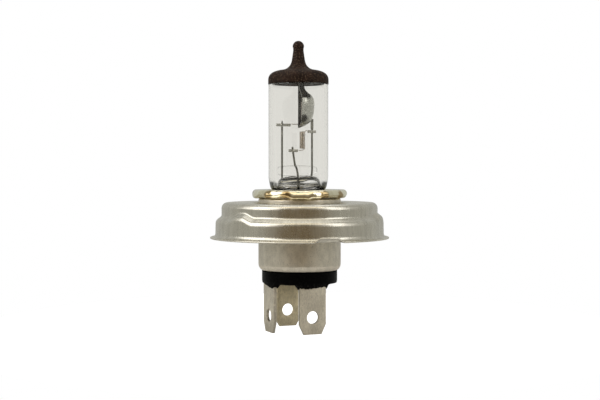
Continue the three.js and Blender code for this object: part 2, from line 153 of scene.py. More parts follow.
class BulbColours(bpy.types.PropertyGroup):
    """Colours of the bulb's finishes."""

    quartz: colour("Quartz", "Tint of the glass", 0.94, 0.925, 0.89)
    paint: colour("Tip paint", "Matt heat-resistant paint", 0.021, 0.0100, 0.0068)
    shield: colour("Dip shield", "Polished sheet", 0.40, 0.40, 0.36)
    lead: colour("Leads", "Posts and outer leads", 0.145, 0.14, 0.115)
    # A lighter copy of the leads' colour: painted highlight for the light the flat tabs catch.
    tab: colour("Tabs", "Folded strips on the posts", 0.33, 0.32, 0.28)
    tungsten: colour("Tungsten", "Filament wire", 0.48, 0.43, 0.37)
    foil: colour("Foil", "Sealing foils", 0.50, 0.50, 0.48)
    gold: colour("Collar", "Polished gold-coloured ring", 0.99, 0.91, 0.70)
    cup: colour("Cup", "Satin plated sheet", 0.69, 0.655, 0.575)
    sleeve: colour("Sleeve", "Satin plated neck", 0.74, 0.68, 0.575)
    spring: colour("Clamp", "Spring steel", 0.45, 0.45, 0.44)
    black: colour("Insulator", "Moulded black base", 0.0008, 0.0008, 0.0008)
    compound: colour("Compound", "Hand-laid black compound", 0.001, 0.001, 0.001)
    blade: colour("Blades", "Plated high and low beam blades", 0.70, 0.64, 0.53)
    ground: colour("Ground blade", "Thinly plated ground blade", 0.78, 0.68, 0.47)


# ---- Outlines -----------------------------------------------------------------------------------


def arc(centre, radius, start, end, steps=12):
    """Points of an arc about (r, z), with its angles in degrees from the outward direction."""
    angles = [math.radians(start + (end - start) * i / steps) for i in range(steps + 1)]
    return [
        (centre[0] + radius * math.cos(a), centre[1] + radius * math.sin(a)) for a in angles
    ]


def bend(start, corner, end, steps=12):
    """Points of a smooth bend from start to end that heads for the corner between them."""
    points = []
    for i in range(steps + 1):
        t = i / steps
        weights = ((1 - t) ** 2, 2 * t * (1 - t), t * t)
        points.append(tuple(
            sum(w * p[axis] for w, p in zip(weights, (start, corner, end))) for axis in (0, 1)
        ))
    return points


def bends(*places, steps=12):
    """Smooth bends in a row: a start, and then a corner and an end for each of them."""
    return joined(*(bend(*places[i:i + 3], steps) for i in range(0, len(places) - 2, 2)))


def joined(*runs):
    """One line of points from several runs, without the points that repeat."""
    points = []
    for run in runs:
        for point in run:
            if not points or math.dist(points[-1], point) > 1e-7:
                points.append(point)
    return points


def subdivided(points, longest):
    """The same line with its long straight stretches divided."""
    fine = [points[0]]
    for before, after in zip(points, points[1:]):
        pieces = max(1, math.ceil(math.dist(before, after) / longest))
        for i in range(1, pieces + 1):
            t = i / pieces
            fine.append(tuple(a + (b - a) * t for a, b in zip(before, after)))
    return fine


def offset_line(points, distance):
    """The line moved to its right by a distance. A point on the axis stays on it."""
    moved = []
    for i, (r, z) in enumerate(points):
        before = points[max(i - 1, 0)]
        after = points[min(i + 1, len(points) - 1)]
        run = math.dist(before, after)
        along = ((after[0] - before[0]) / run, (after[1] - before[1]) / run)
        moved.append((0 if r == 0 else r + along[1] * distance, z - along[0] * distance))
    return moved


def sheet_section(middle, thickness, edge_steps=4):
    """The closed section of bent sheet with round edges, walked with its outside on the right."""
    half = thickness / 2
    outside = offset_line(middle, half)
    inside = offset_line(middle, -half)[::-1]

    def round_edge(tip, from_point):
        heading = math.atan2(from_point[1] - tip[1], from_point[0] - tip[0])
        angles = [heading + math.pi * i / edge_steps for i in range(1, edge_steps)]
        return [(tip[0] + half * math.cos(a), tip[1] + half * math.sin(a)) for a in angles]

    far = round_edge(middle[-1], outside[-1])
    near = round_edge(middle[0], inside[-1])
    return joined(outside, far, inside, near, [outside[0]])


# ---- Meshes -------------------------------------------------------------------------------------


def mesh_object(name, corners, faces, uvs=None):
    """A new object in the scene from corners, faces and a flat list of face-corner UVs."""
    mesh = bpy.data.meshes.new(name)
    mesh.from_pydata(corners, [], faces)
    if uvs:
        layer = mesh.uv_layers.new(name="surface")
        layer.data.foreach_set("uv", [value for uv in uvs for value in uv])
    mesh.validate()
    piece = bpy.data.objects.new(name, mesh)
    bpy.context.scene.collection.objects.link(piece)
    return piece


def turned(name, outline, axis, facets, warp=None):
    """A piece turned about an upright axis. Azimuth 0 is -Y and grows towards +X.

    The outline is walked with its outside on the right. It starts and ends on the axis, or it
    closes on itself. UVs run in metres, round the piece and along its outline.
    """
    closed = math.dist(outline[0], outline[-1]) < 1e-7
    rows = outline[:-1] if closed else outline
    corners = []
    index = {}
    for j, (r, z) in enumerate(rows):
        for i in range(1 if r == 0 else facets):
            azimuth = 2 * math.pi * i / facets
            index[i, j] = len(corners)
            reach, height = warp(azimuth, r, z) if warp else (r, z)
            corners.append((
                axis[0] + reach * math.sin(azimuth), axis[1] - reach * math.cos(azimuth), height,
            ))
    walked = [0]
    for before, after in zip(outline, outline[1:]):
        walked.append(walked[-1] + math.dist(before, after))
    widest = max(r for r, _ in outline)
    faces = []
    uvs = []
    for j in range(len(outline) - 1):
        for i in range(facets):
            square = [(i, j), (i + 1, j), (i + 1, j + 1), (i, j + 1)]
            face = []
            for a, b in square:
                row = b % len(rows)
                corner = index[0 if rows[row][0] == 0 else a % facets, row]
                if corner not in face:
                    face.append(corner)
                    uvs.append((2 * math.pi * widest * a / facets, walked[b]))
            faces.append(face)
    return mesh_object(name, corners, faces, uvs)


def smooth_route(places, steps=8):
    """A smooth line through a few places."""
    line = []
    for i in range(len(places) - 1):
        before = places[max(i - 1, 0)]
        start, end = places[i], places[i + 1]
        after = places[min(i + 2, len(places) - 1)]
        for k in range(steps):
            t = k / steps
            line.append(0.5 * (
                2 * start + (end - before) * t
                + (2 * before - 5 * start + 4 * end - after) * t**2
                + (3 * start - before - 3 * end + after) * t**3
            ))
    return line + [places[-1]]


# How far a wire's last ring stands in from its end, as a share of the wire's radius.
WIRE_END_SHARE = 0.92


def wire(name, route, radius, sides=16):
    """A round wire along a line of places, with its ends drawn in."""
    first = (route[1] - route[0]).normalized()
    last = (route[-1] - route[-2]).normalized()
    end_shift = WIRE_END_SHARE * radius
    end_reach = math.sqrt(radius**2 - end_shift**2)
    places = [(route[0] + first * end_shift, end_reach)]
    places += [(place, radius) for place in route[1:-1]]
    places.append((route[-1] - last * end_shift, end_reach))
    side = first.orthogonal().normalized()
    rows = []
    for i, (place, reach) in enumerate(places):
        ahead = places[min(i + 1, len(places) - 1)][0] - places[max(i - 1, 0)][0]
        ahead = ahead.normalized()
        side = (side - ahead * side.dot(ahead)).normalized()
        across = ahead.cross(side)
        rows.append([
            place + reach * (side * math.cos(a) + across * math.sin(a))
            for a in (2 * math.pi * k / sides for k in range(sides))
        ])
    return ringed(name, rows)


def ringed(name, rows):
    """A closed surface over rings of places, with both ends capped."""
    around = len(rows[0])
    corners = [place for row in rows for place in row]
    faces = [
        (j * around + i, j * around + (i + 1) % around,
         (j + 1) * around + (i + 1) % around, (j + 1) * around + i)
        for j in range(len(rows) - 1) for i in range(around)
    ]
    last = (len(rows) - 1) * around
    faces.append(tuple(reversed(range(around))))
    faces.append(tuple(range(last, last + around)))
    return mesh_object(name, corners, faces)


def plate(name, outline, holes, thickness, edge):
    """A flat plate in the XZ plane about y = 0, with rounded edges and round holes."""
    curve = bpy.data.curves.new(name, "CURVE")
    curve.dimensions = "2D"
    curve.fill_mode = "BOTH"
    curve.extrude = thickness / 2 - edge
    curve.bevel_depth = edge
    curve.bevel_resolution = 3
    curve.offset = -edge
    for loop in [outline, *holes]:
        spline = curve.splines.new("POLY")
        spline.points.add(len(loop) - 1)
        for point, (x, z) in zip(spline.points, loop):
            point.co = (x, z, 0, 1)
        spline.use_cyclic_u = True
    shape = bpy.data.objects.new(name + "_outline", curve)
    bpy.context.scene.collection.objects.link(shape)
    depsgraph = bpy.context.evaluated_depsgraph_get()
    mesh = bpy.data.meshes.new_from_object(shape.evaluated_get(depsgraph))
    bpy.data.objects.remove(shape)
    mesh.name = name
    mesh.transform(Matrix.Rotation(math.pi / 2, 4, "X"))
    piece = bpy.data.objects.new(name, mesh)
    bpy.context.scene.collection.objects.link(piece)
    return piece


def circle(x, z, radius, steps=48):
    """The corners of a round outline about (x, z)."""
    angles = [2 * math.pi * i / steps for i in range(steps)]
    return [(x + radius * math.cos(a), z + radius * math.sin(a)) for a in angles]


def place_mesh(piece, turn=0.0, shift=(0, 0, 0)):
    """Turns a piece's mesh about Z and then shifts it."""
    piece.data.transform(Matrix.Translation(shift) @ Matrix.Rotation(turn, 4, "Z"))
    piece.data.update()
    return piece


def on_burner(piece):
    """Moves a mesh made about the burner's own axis to where the burner stands."""
    return place_mesh(piece, BURNER_TURN, (*BURNER_AXIS, 0))


def tidy_mesh(piece, sharp_angle=40):
    """Merges doubles, points the faces outwards and shades the piece smooth."""
    work = bmesh.new()
    work.from_mesh(piece.data)
    bmesh.ops.remove_doubles(work, verts=work.verts, dist=1e-7)
    bmesh.ops.recalc_face_normals(work, faces=work.faces)
    work.to_mesh(piece.data)
    work.free()
    piece.data.shade_smooth()
    piece.data.set_sharp_from_angle(angle=math.radians(sharp_angle))


def finished(piece, nodes, slot, finish=None, sharp_angle=40, tidy=True):
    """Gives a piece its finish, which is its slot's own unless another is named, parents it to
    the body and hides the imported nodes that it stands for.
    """
    if tidy:
        tidy_mesh(piece, sharp_angle)
    else:
        piece.data.shade_smooth()
    piece.data.materials.clear()
    piece.data.materials.append(material_for(finish or slot))
    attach(piece, BODY)
    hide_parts(*nodes)
    return piece


# ---- Shader groups ------------------------------------------------------------------------------


def new_group(name, inputs, outputs):
    """An empty shader group, its tree, its given sockets and the node that it shows."""
    kinds = {"value": "NodeSocketFloat", "colour": "NodeSocketColor", "vector": "NodeSocketVector"}
    group = bpy.data.node_groups.new(name, "ShaderNodeTree")
    for label, kind, default in inputs:
        socket = group.interface.new_socket(label, in_out="INPUT", socket_type=kinds[kind])
        if default is not None:
            socket.default_value = default
    for label, kind in outputs:
        group.interface.new_socket(label, in_out="OUTPUT", socket_type=kinds[kind])
    tree = Tree(group)
    return group, tree, tree.add("NodeGroupInput").outputs, tree.add("NodeGroupOutput")


class Tree:
    """Adds and links nodes in one node tree."""

    def __init__(self, tree):
        self.tree = tree

    def add(self, kind, settings=None, **sockets):
        node = self.tree.nodes.new(kind)
        for key, value in (settings or {}).items():
            setattr(node, key, value)
        for key, value in sockets.items():
            self.feed(node, key.replace("_", " "), value)
        return node

    def feed(self, node, label, value):
        socket = node.inputs[int(label) if label.isdigit() else label]
        if isinstance(value, bpy.types.NodeSocket):
            self.tree.links.new(value, socket)
        else:
            socket.default_value = value

    def maths(self, operation, first, second=0.0):
        node = self.add("ShaderNodeMath", {"operation": operation})
        self.feed(node, "0", first)
        self.feed(node, "1", second)
        return node.outputs[0]

    def scaled(self, value, factor):
        return self.maths("MULTIPLY", value, factor)

    def vectors(self, operation, first, second=None):
        """A sum, product or measure of vectors."""
        node = self.add("ShaderNodeVectorMath", {"operation": operation})
        self.feed(node, "0", first)
        if second is not None:
            self.feed(node, "1", second)
        measured = operation in ("DISTANCE", "DOT_PRODUCT", "LENGTH")
        return node.outputs["Value" if measured else "Vector"]

    def noise(self, vector, scale, detail=3.0, roughness=0.5):
        node = self.add("ShaderNodeTexNoise", Vector=vector, Scale=scale, Detail=detail)
        node.inputs["Roughness"].default_value = roughness
        return node.outputs["Fac"]

    def steps(self, value, low, high, from_value=0.0, to_value=1.0):
        node = self.add("ShaderNodeMapRange", {"interpolation_type": "SMOOTHSTEP"}, Value=value)
        self.feed(node, "From Min", low)
        self.feed(node, "From Max", high)
        self.feed(node, "To Min", from_value)
        self.feed(node, "To Max", to_value)
        return node.outputs["Result"]

    def bump(self, height, strength, distance):
        return self.add("ShaderNodeBump", Height=height, Strength=strength, Distance=distance)

    def mix(self, factor, first, second):
        node = self.add("ShaderNodeMix", {"data_type": "RGBA"})
        for socket, value in (("0", factor), ("6", first), ("7", second)):
            self.feed(node, socket, value)
        return node.outputs[2]


def colour4(value):
    return (*value[:3], 1.0)


def shade(value, factor):
    """A colour made darker or lighter."""
    return tuple(min(1.0, channel * factor) for channel in value[:3]) + (1.0,)


def metal_grain_group():
    """Fine drawn or brushed grain with pits, in metres, stretched along one direction."""
    group, tree, given, shown = new_group(
        "metal grain",
        [("Vector", "vector", None), ("Stretch", "vector", (1, 1, 1)),
         ("Fineness", "value", 4000.0), ("Pits", "value", 0.3)],
        [("Height", "value"), ("Streaks", "value"), ("Pits", "value")],
    )
    lined = tree.vectors("MULTIPLY", given["Vector"], given["Stretch"])
    fine = tree.noise(lined, given["Fineness"], 4.0, 0.6)
    coarse = tree.noise(lined, tree.scaled(given["Fineness"], 0.12), 2.0)
    both = tree.maths("ADD", tree.scaled(fine, 0.6), tree.scaled(coarse, 0.4))
    pits = tree.noise(given["Vector"], tree.scaled(given["Fineness"], 0.6), 2.0)
    pitted = tree.steps(pits, 0.56, 0.7)
    sunk = tree.scaled(pitted, given["Pits"])
    tree.feed(shown, "Height", tree.maths("SUBTRACT", both, sunk))
    tree.feed(shown, "Streaks", both)
    tree.feed(shown, "Pits", pitted)
    return group


def tarnish_group():
    """Soft patches, smudges and small specks that settle on any finish."""
    group, tree, given, shown = new_group(
        "tarnish",
        [("Vector", "vector", None), ("Patch Scale", "value", 250.0),
         ("Speck Scale", "value", 2500.0)],
        [("Patches", "value"), ("Specks", "value")],
    )
    patches = tree.noise(given["Vector"], given["Patch Scale"], 5.0, 0.6)
    specks = tree.noise(given["Vector"], given["Speck Scale"], 1.0)
    tree.feed(shown, "Patches", tree.steps(patches, 0.35, 0.68))
    tree.feed(shown, "Specks", tree.steps(specks, 0.68, 0.76))
    return group


def edge_wear_and_shade_group():
    """A mask along the outer edges, broken up, that lays wear on edges and, on the blades, painted
    shade.
    """
    group, tree, given, shown = new_group(
        "edge wear and shade",
        [("Vector", "vector", None), ("Break Up", "value", 900.0)],
        [("Edges", "value")],
    )
    shape = tree.add("ShaderNodeNewGeometry")
    edge = tree.steps(shape.outputs["Pointiness"], 0.51, 0.58)
    patchy = tree.noise(given["Vector"], given["Break Up"], 3.0)
    tree.feed(shown, "Edges", tree.maths("MULTIPLY", edge, tree.steps(patchy, 0.3, 0.6)))
    return group


def shared_group(name):
    """The named shader group, built the first time that it is asked for."""
    makers = {
        "metal grain": metal_grain_group, "tarnish": tarnish_group, "edge wear and shade": edge_wear_and_shade_group,
    }
    return bpy.data.node_groups.get(name) or makers[name]()


# ---- Materials ----------------------------------------------------------------------------------


def new_material(name):
    """A material with its Principled shader and a helper for adding nodes to it."""
    material = bpy.data.materials.new(name)
    material.use_nodes = True
    return material, Tree(material.node_tree), shader_of(material)


def shader_of(material):
    return next(n for n in material.node_tree.nodes if n.type == "BSDF_PRINCIPLED")


def overlay(material, tree, mask, colour_there):
    """Lays one more colour over a finish, where a mask says so."""
    shader = shader_of(material)
    clean = shader.inputs["Base Color"].links[0].from_socket
    tree.feed(shader, "Base Color", tree.mix(mask, clean, colour_there))


def place_group(tree, name, **sockets):
    return tree.add("ShaderNodeGroup", {"node_tree": shared_group(name)}, **sockets)


# How a metal's patches and specks are shaded against its own colour.
PATCH_SHADE = 0.45
SPECK_SHADE = 0.35
# How far a finish's roughness goes up and down, how deep a metal's grain is, and the scale of the
# swells that bend a wavy metal's reflections.
ROUGHENING = 0.08
GRAIN_DEPTH = 0.02 * MM
SWELL_SCALE = 300.0


def metal(name, base, roughness, along=(1, 1, 1), fineness=4000.0, bump=0.15, use_uv=False,
          contrast=0.18, pits=0.3, patchy=0.1, drawn=0.0, wavy=0.0, edge_wear_and_shade=1.35):
    """A metal with grain along one direction, tarnish patches, and edges recoloured by a factor:
    lightened above 1 as wear, darkened below 1 as painted shade.

    A drawn metal spreads its highlights round the upright axis; a wavy one bends its reflections.
    """
    material, tree, shader = new_material(name)
    coordinates = tree.add("ShaderNodeTexCoord")
    where = coordinates.outputs["UV" if use_uv else "Object"]
    body = coordinates.outputs["Object"]
    grain = place_group(
        tree, "metal grain", Vector=where, Stretch=along, Fineness=fineness, Pits=pits
    ).outputs
    tarnish = place_group(tree, "tarnish", Vector=body).outputs
    wear = place_group(tree, "edge wear and shade", Vector=body).outputs
    streaks = tree.steps(grain["Streaks"], 0.38, 0.62)
    worn_and_shaded_colour = tree.mix(streaks, shade(base, 1 - contrast), shade(base, 1 + contrast))
    # The edges' factor lightens them as wear above 1 and darkens them as painted shade below 1.
    layers = (
        (tarnish["Patches"], patchy, PATCH_SHADE),
        (tarnish["Specks"], 0.5, SPECK_SHADE),
        (wear["Edges"], 0.5, edge_wear_and_shade),
    )
    for mask, strength, factor in layers:
        worn_and_shaded_colour = tree.mix(tree.scaled(mask, strength), worn_and_shaded_colour, shade(base, factor))
    tree.feed(shader, "Base Color", worn_and_shaded_colour)
    tree.feed(shader, "Metallic", 1.0)
    rough = roughness
    for mask in (tarnish["Patches"], grain["Pits"]):
        rough = tree.maths("ADD", rough, tree.scaled(mask, ROUGHENING))
    tree.feed(shader, "Roughness", rough)
    raised = tree.bump(grain["Height"], bump, GRAIN_DEPTH)
    if wavy:
        swell = tree.bump(tree.noise(body, SWELL_SCALE, 2.0), 1.0, wavy)
        tree.feed(raised, "Normal", swell.outputs["Normal"])
    tree.feed(shader, "Normal", raised.outputs["Normal"])
    if drawn:
        shader.inputs["Anisotropic"].default_value = drawn
        around = tree.add("ShaderNodeTangent", {"direction_type": "RADIAL", "axis": "Z"})
        tree.feed(shader, "Tangent", around.outputs["Tangent"])
    return material


# Azimuths of the painted dark brown reflections low on the collar's rolled edge, and the ring that
# they stand on.
COLLAR_DARK_REFLECTIONS = (-64, -40, 8, 36, 71, 120, 168, 205, 250)
DARK_REFLECTION_RING = 12.6 * MM
DARK_REFLECTION_HEIGHT = 11.1 * MM
REFLECTION_BROWN = (0.36, 0.24, 0.09, 1.0)


def collar_material(colours):
    """Polished gold-coloured metal, wavy, with painted dark brown reflections low on its rolled
    edge.
    """
    material = metal("collar_gold", colours.gold, 0.07, (1.0, 0.03, 1.0), 2500.0, 0.03, True,
                     contrast=0.05, patchy=0.1, wavy=0.3 * MM)
    tree = Tree(material.node_tree)
    where = tree.add("ShaderNodeTexCoord").outputs["Object"]
    ragged = tree.scaled(tree.noise(where, 900.0, 2.0), 1.6 * MM)
    painted_reflections = 0.0
    for azimuth in COLLAR_DARK_REFLECTIONS:
        turn = math.radians(azimuth)
        middle = (DARK_REFLECTION_RING * math.sin(turn), -DARK_REFLECTION_RING * math.cos(turn), DARK_REFLECTION_HEIGHT)
        away = tree.maths("ADD", tree.vectors("DISTANCE", where, middle), ragged)
        painted_reflections = tree.maths("MAXIMUM", painted_reflections, tree.steps(away, 2.6 * MM, 1.7 * MM))
    # Painted reflections: dark brown laid over the gold low on the rolled edge.
    overlay(material, tree, tree.scaled(painted_reflections, 0.85), REFLECTION_BROWN)
    return material


def from_burner_axis(tree, where):
    """The level vector from the burner's axis to a place."""
    level = tree.vectors("MULTIPLY", where, (1.0, 1.0, 0.0))
    return tree.vectors("SUBTRACT", level, (*BURNER_AXIS, 0.0))


# Where the painted dark reflection stands on the shield, from the burner's axis and in height.
DARK_REFLECTION_SPOT = Vector((-0.1, -3.9, 31.2)) * MM


def shield_material(colours):
    """Polished sheet with painted shade on its inner side and a painted dark reflection in one spot
    by its front rim.
    """
    material = metal("shield_metal", colours.shield, 0.2, (1.0, 1.0, 0.04), 2500.0, 0.05,
                     contrast=0.05, wavy=0.1 * MM)
    tree = Tree(material.node_tree)
    where = tree.add("ShaderNodeTexCoord").outputs["Object"]
    normal = tree.add("ShaderNodeNewGeometry").outputs["Normal"]
    # Painted shade: the side of the sheet that faces the burner's axis is darkened.
    facing = tree.vectors("DOT_PRODUCT", from_burner_axis(tree, where), normal)
    inner = tree.steps(facing, 0.4 * MM, -0.4 * MM)
    # Painted dark reflection: a spot by the front rim is darkened.
    spot = tree.vectors("DISTANCE", where, DARK_REFLECTION_SPOT + Vector((*BURNER_AXIS, 0)))
    painted_dark_reflection = tree.steps(spot, 1.5 * MM, 0.8 * MM)
    # Lays the painted shade and the painted dark reflection over the polished colour.
    overlay(material, tree, tree.maths("MAXIMUM", inner, painted_dark_reflection), shade(colours.shield, 0.12))
    return material


# Heights and half widths, in millimetres, of the painted dark lines in the foot of the glass, which
# stand in for the dark refracted through its curved inside.
FOOT_DARK_LINES = ((16.0, 0.42), (14.5, 0.2), (13.4, 0.24))
PAINTED_REFRACTION_DARK = (0.003, 0.003, 0.002, 1.0)
QUARTZ_IOR = 1.458


def foot_painted_darkness(tree, where, reach):
    """A mask of the painted dark lines in the glass's foot and of painted shade on the foot's
    edge-on sides.
    """
    height = tree.add("ShaderNodeSeparateXYZ", Vector=where).outputs["Z"]
    wandering = tree.maths("ADD", height, tree.scaled(tree.noise(where, 180.0), 0.9 * MM))
    # Painted shade: the foot's edge-on sides are darkened.
    edge_on_shade = tree.steps(tree.add("ShaderNodeLayerWeight").outputs["Facing"], 0.32, 0.55)
    dark = tree.scaled(tree.steps(height, 15.2 * MM, 14.4 * MM), edge_on_shade)
    dark = tree.scaled(dark, tree.steps(height, 11.2 * MM, 11.6 * MM))
    inside = tree.steps(reach, 6.9 * MM, 6.4 * MM)
    # Painted dark lines across the foot, standing in for the dark refracted through the curved
    # glass.
    for seam, half_width in FOOT_DARK_LINES:
        away = tree.maths("ABSOLUTE", tree.maths("SUBTRACT", wandering, seam * MM))
        line = tree.steps(away, half_width * MM, 0.4 * half_width * MM)
        dark = tree.maths("MAXIMUM", dark, tree.scaled(line, inside))
    return dark


def quartz_material(colours, ior=QUARTZ_IOR):
    """Clear quartz, tinted once at its outer face, with faint streaks up the tube, some dust, and
    painted shade and dark lines in its foot.
    """
    material, tree, shader = new_material("quartz_glass")
    where = tree.add("ShaderNodeTexCoord").outputs["Object"]
    streaks = tree.noise(tree.vectors("MULTIPLY", where, (1.0, 1.0, 0.02)), 420.0, 3.0)
    dust = place_group(tree, "tarnish", Vector=where, Speck_Scale=900.0).outputs["Specks"]
    reach = tree.vectors("LENGTH", from_burner_axis(tree, where))
    outer = tree.steps(reach, 7.1 * MM, 7.3 * MM)
    streaked = tree.steps(streaks, 0.35, 0.65)
    tint = tree.mix(streaked, shade(colours.quartz, 0.965), colour4(colours.quartz))
    tinted = tree.mix(outer, (1.0, 1.0, 1.0, 1.0), tint)
    # The foot's painted shade and painted dark lines are laid over the tint.
    tree.feed(shader, "Base Color", tree.mix(foot_painted_darkness(tree, where, reach), tinted, PAINTED_REFRACTION_DARK))
    tree.feed(shader, "Roughness", tree.scaled(dust, 0.2))
    shader.inputs["IOR"].default_value = ior
    shader.inputs["Transmission Weight"].default_value = 1.0
    tree.feed(shader, "Normal", tree.bump(streaks, 0.04, 0.05 * MM).outputs["Normal"])
    return material


def dark_coat(name, base, roughness, speck_colour, lump_scale, bump, distance, specular=0.25):
    """A dark matt layer with pale specks and a lumpy surface."""
    material, tree, shader = new_material(name)
    where = tree.add("ShaderNodeTexCoord").outputs["Object"]
    tarnish = place_group(
        tree, "tarnish", Vector=where, Patch_Scale=500.0, Speck_Scale=3200.0
    ).outputs
    lumps = tree.noise(where, lump_scale, 6.0, 0.65)
    patched = tree.mix(tarnish["Patches"], shade(base, 0.7), shade(base, 1.5))
    grit = tree.steps(tree.noise(where, 3600.0, 2.0), 0.57, 0.67)
    grit = tree.scaled(tree.maths("MAXIMUM", grit, tarnish["Specks"]), 0.8)
    tree.feed(shader, "Base Color", tree.mix(grit, patched, colour4(speck_colour)))
    rough = tree.steps(lumps, 0.3, 0.7, roughness - ROUGHENING, roughness + ROUGHENING)
    tree.feed(shader, "Roughness", rough)
    shader.inputs["Specular IOR Level"].default_value = specular
    tree.feed(shader, "Normal", tree.bump(lumps, bump, distance).outputs["Normal"])
    return material


FINISHES = {}
# How the grain is stretched: up a wire or a sheet, up a blade, and round a turned piece.
UP_GRAIN = (1.0, 1.0, 0.04)
BLADE_GRAIN = (1.0, 1.0, 0.4)
CUP_GRAIN = (1.0, 0.06, 1.0)
SLEEVE_GRAIN = (1.0, 0.6, 1.0)
ALL_WAYS = (1.0, 1.0, 1.0)


def material_for(finish):
    """A finish by its name, made the first time that it is asked for."""
    if finish in FINISHES:
        return FINISHES[finish]
    colours = bpy.context.scene.bulb_colours
    # The blades' edges and holes are darkened: painted shade, not wear.
    blades = {"contrast": 0.14, "pits": 0.8, "edge_wear_and_shade": 0.5}
    makers = {
        "quartz_glass": lambda: quartz_material(colours),
        "bridge_glass": lambda: quartz_material(colours, 1.14),
        "tip_paint": lambda: dark_coat(
            finish, colours.paint, 0.62, (0.18, 0.125, 0.085), 1500.0, 0.6, 0.1 * MM, 0.12),
        "shield_metal": lambda: shield_material(colours),
        "lead_metal": lambda: metal(finish, colours.lead, 0.35, UP_GRAIN, 6000.0, 0.1),
        "tungsten": lambda: metal(
            finish, colours.tungsten, 0.12, ALL_WAYS, 9000.0, 0.05, contrast=0.3),
        # The tabs' lighter copy of the lead metal is a painted highlight.
        "tab_metal_painted_lighter": lambda: metal(finish, colours.tab, 0.25, ALL_WAYS, 5000.0, 0.1),
        "foil_metal": lambda: metal(finish, colours.foil, 0.3),
        "collar_gold": lambda: collar_material(colours),
        "flange_steel": lambda: metal(
            finish, colours.cup, 0.24, CUP_GRAIN, 5000.0, 0.1, True, contrast=0.1, drawn=0.5),
        "sleeve_steel": lambda: metal(
            finish, colours.sleeve, 0.36, SLEEVE_GRAIN, 5500.0, 0.15, True, contrast=0.14,
            drawn=0.5),
        "spring_steel": lambda: metal(finish, colours.spring, 0.35),
        "black_insulator": lambda: dark_coat(
            finish, colours.black, 0.4, (0.01, 0.01, 0.01), 2500.0, 0.1, 0.02 * MM, 0.03),
        "black_compound": lambda: dark_coat(
            finish, colours.compound, 0.55, (0.03, 0.03, 0.028), 1500.0, 0.5, 0.15 * MM, 0.04),
        "blade_metal": lambda: metal(
            finish, colours.blade, 0.42, BLADE_GRAIN, 3500.0, 0.3, patchy=0.2, **blades),
        "ground_blade_metal": lambda: metal(
            finish, colours.ground, 0.42, BLADE_GRAIN, 3500.0, 0.3, patchy=0.25, **blades),
    }
    FINISHES[finish] = makers[finish]()
    FINISHES[finish].name = finish + "_finish"
    return FINISHES[finish]


# ---- Cap ----------------------------------------------------------------------------------------


def crest(azimuth, middle, half_width, level=0.45):
    """1 over the level share of a stretch of azimuth, falling smoothly to 0 at its ends.

    The half width is in degrees.
    """
    away = abs(math.remainder(azimuth - middle, 2 * math.pi))
    end = math.radians(half_width)
    return 1 - smoothstep(away, level * end, end)


def smoothstep(value, low, high):
    t = min(1, max(0, (value - low) / (high - low)))
    return t * t * (3 - 2 * t)


def cup_middle(sizes):
    """The middle line of the cup's sheet, from the lip up to the neck."""
    half = sizes.cup_sheet / 2
    lip = radius_of("flange_cup")
    skirt = sizes.skirt_radius - half
    crown = sizes.crown_radius - half
    crown_top = top_of("flange_cup") - half
    shelf = sizes.shelf_height
    corner = sizes.crown_corner
    neck = radius_of("sleeve") + 0.15 * MM
    return joined(
        [(lip - half, -half)],
        bend((lip - 0.5 * MM, -half), (skirt + 0.2 * MM, -0.15 * MM),
             (skirt + 0.05 * MM, 0.9 * MM)),
        bend((skirt, shelf - 1.8 * MM), (skirt, shelf - 0.85 * MM),
             (skirt - 0.65 * MM, shelf - 0.5 * MM)),
        bend((crown + 0.45 * MM, shelf - 0.1 * MM), (crown, shelf + 0.2 * MM),
             (crown, shelf + 0.8 * MM)),
        arc((crown - corner, crown_top - corner), corner, 0, 90),
        [(neck, crown_top)],
    )


# Azimuths of the three bosses from the wave, and half widths of the bosses and the wave.
BOSS_AZIMUTHS = (57, 177, 297)
BOSS_HALF_WIDTH = 12
WAVE_HALF_WIDTH = 10.5


class BULB_OT_flange_cup(bpy.types.Operator):
    """Builds the stamped two-step cup with its three bosses and the wave in its lip"""

    bl_idname = "bulb.flange_cup"
    bl_label = "Flange cup"

    def execute(self, context):
        sizes = context.scene.bulb_sizes
        lip = radius_of("flange_cup")
        turn = sizes.cap_turn
        shelf = sizes.shelf_height
        bosses = [turn + math.radians(azimuth) for azimuth in BOSS_AZIMUTHS]

        def stamped(azimuth, r, z):
            over_shelf = smoothstep(z, shelf - 3.4 * MM, shelf - 1.8 * MM)
            over_shelf *= 1 - smoothstep(z, shelf + 0.9 * MM, shelf + 3 * MM)
            boss = max(crest(azimuth, middle, BOSS_HALF_WIDTH, 0.2) for middle in bosses)
            if r < sizes.crown_radius - 1 * MM:
                boss = 0
            over_lip = smoothstep(r, sizes.skirt_radius + 0.2 * MM, lip - 0.3 * MM)
            wave = crest(azimuth, turn, WAVE_HALF_WIDTH) * over_lip
            return r, z + sizes.boss_rise * boss * over_shelf + sizes.wave_rise * wave

        section = sheet_section(subdivided(cup_middle(sizes), 0.5 * MM), sizes.cup_sheet)
        piece = turned("flange_cup_skin", section, CAP_AXIS, 2 * sizes.facets, stamped)
        finished(piece, ["flange_cup"], "flange_steel", tidy=False)
        return {"FINISHED"}


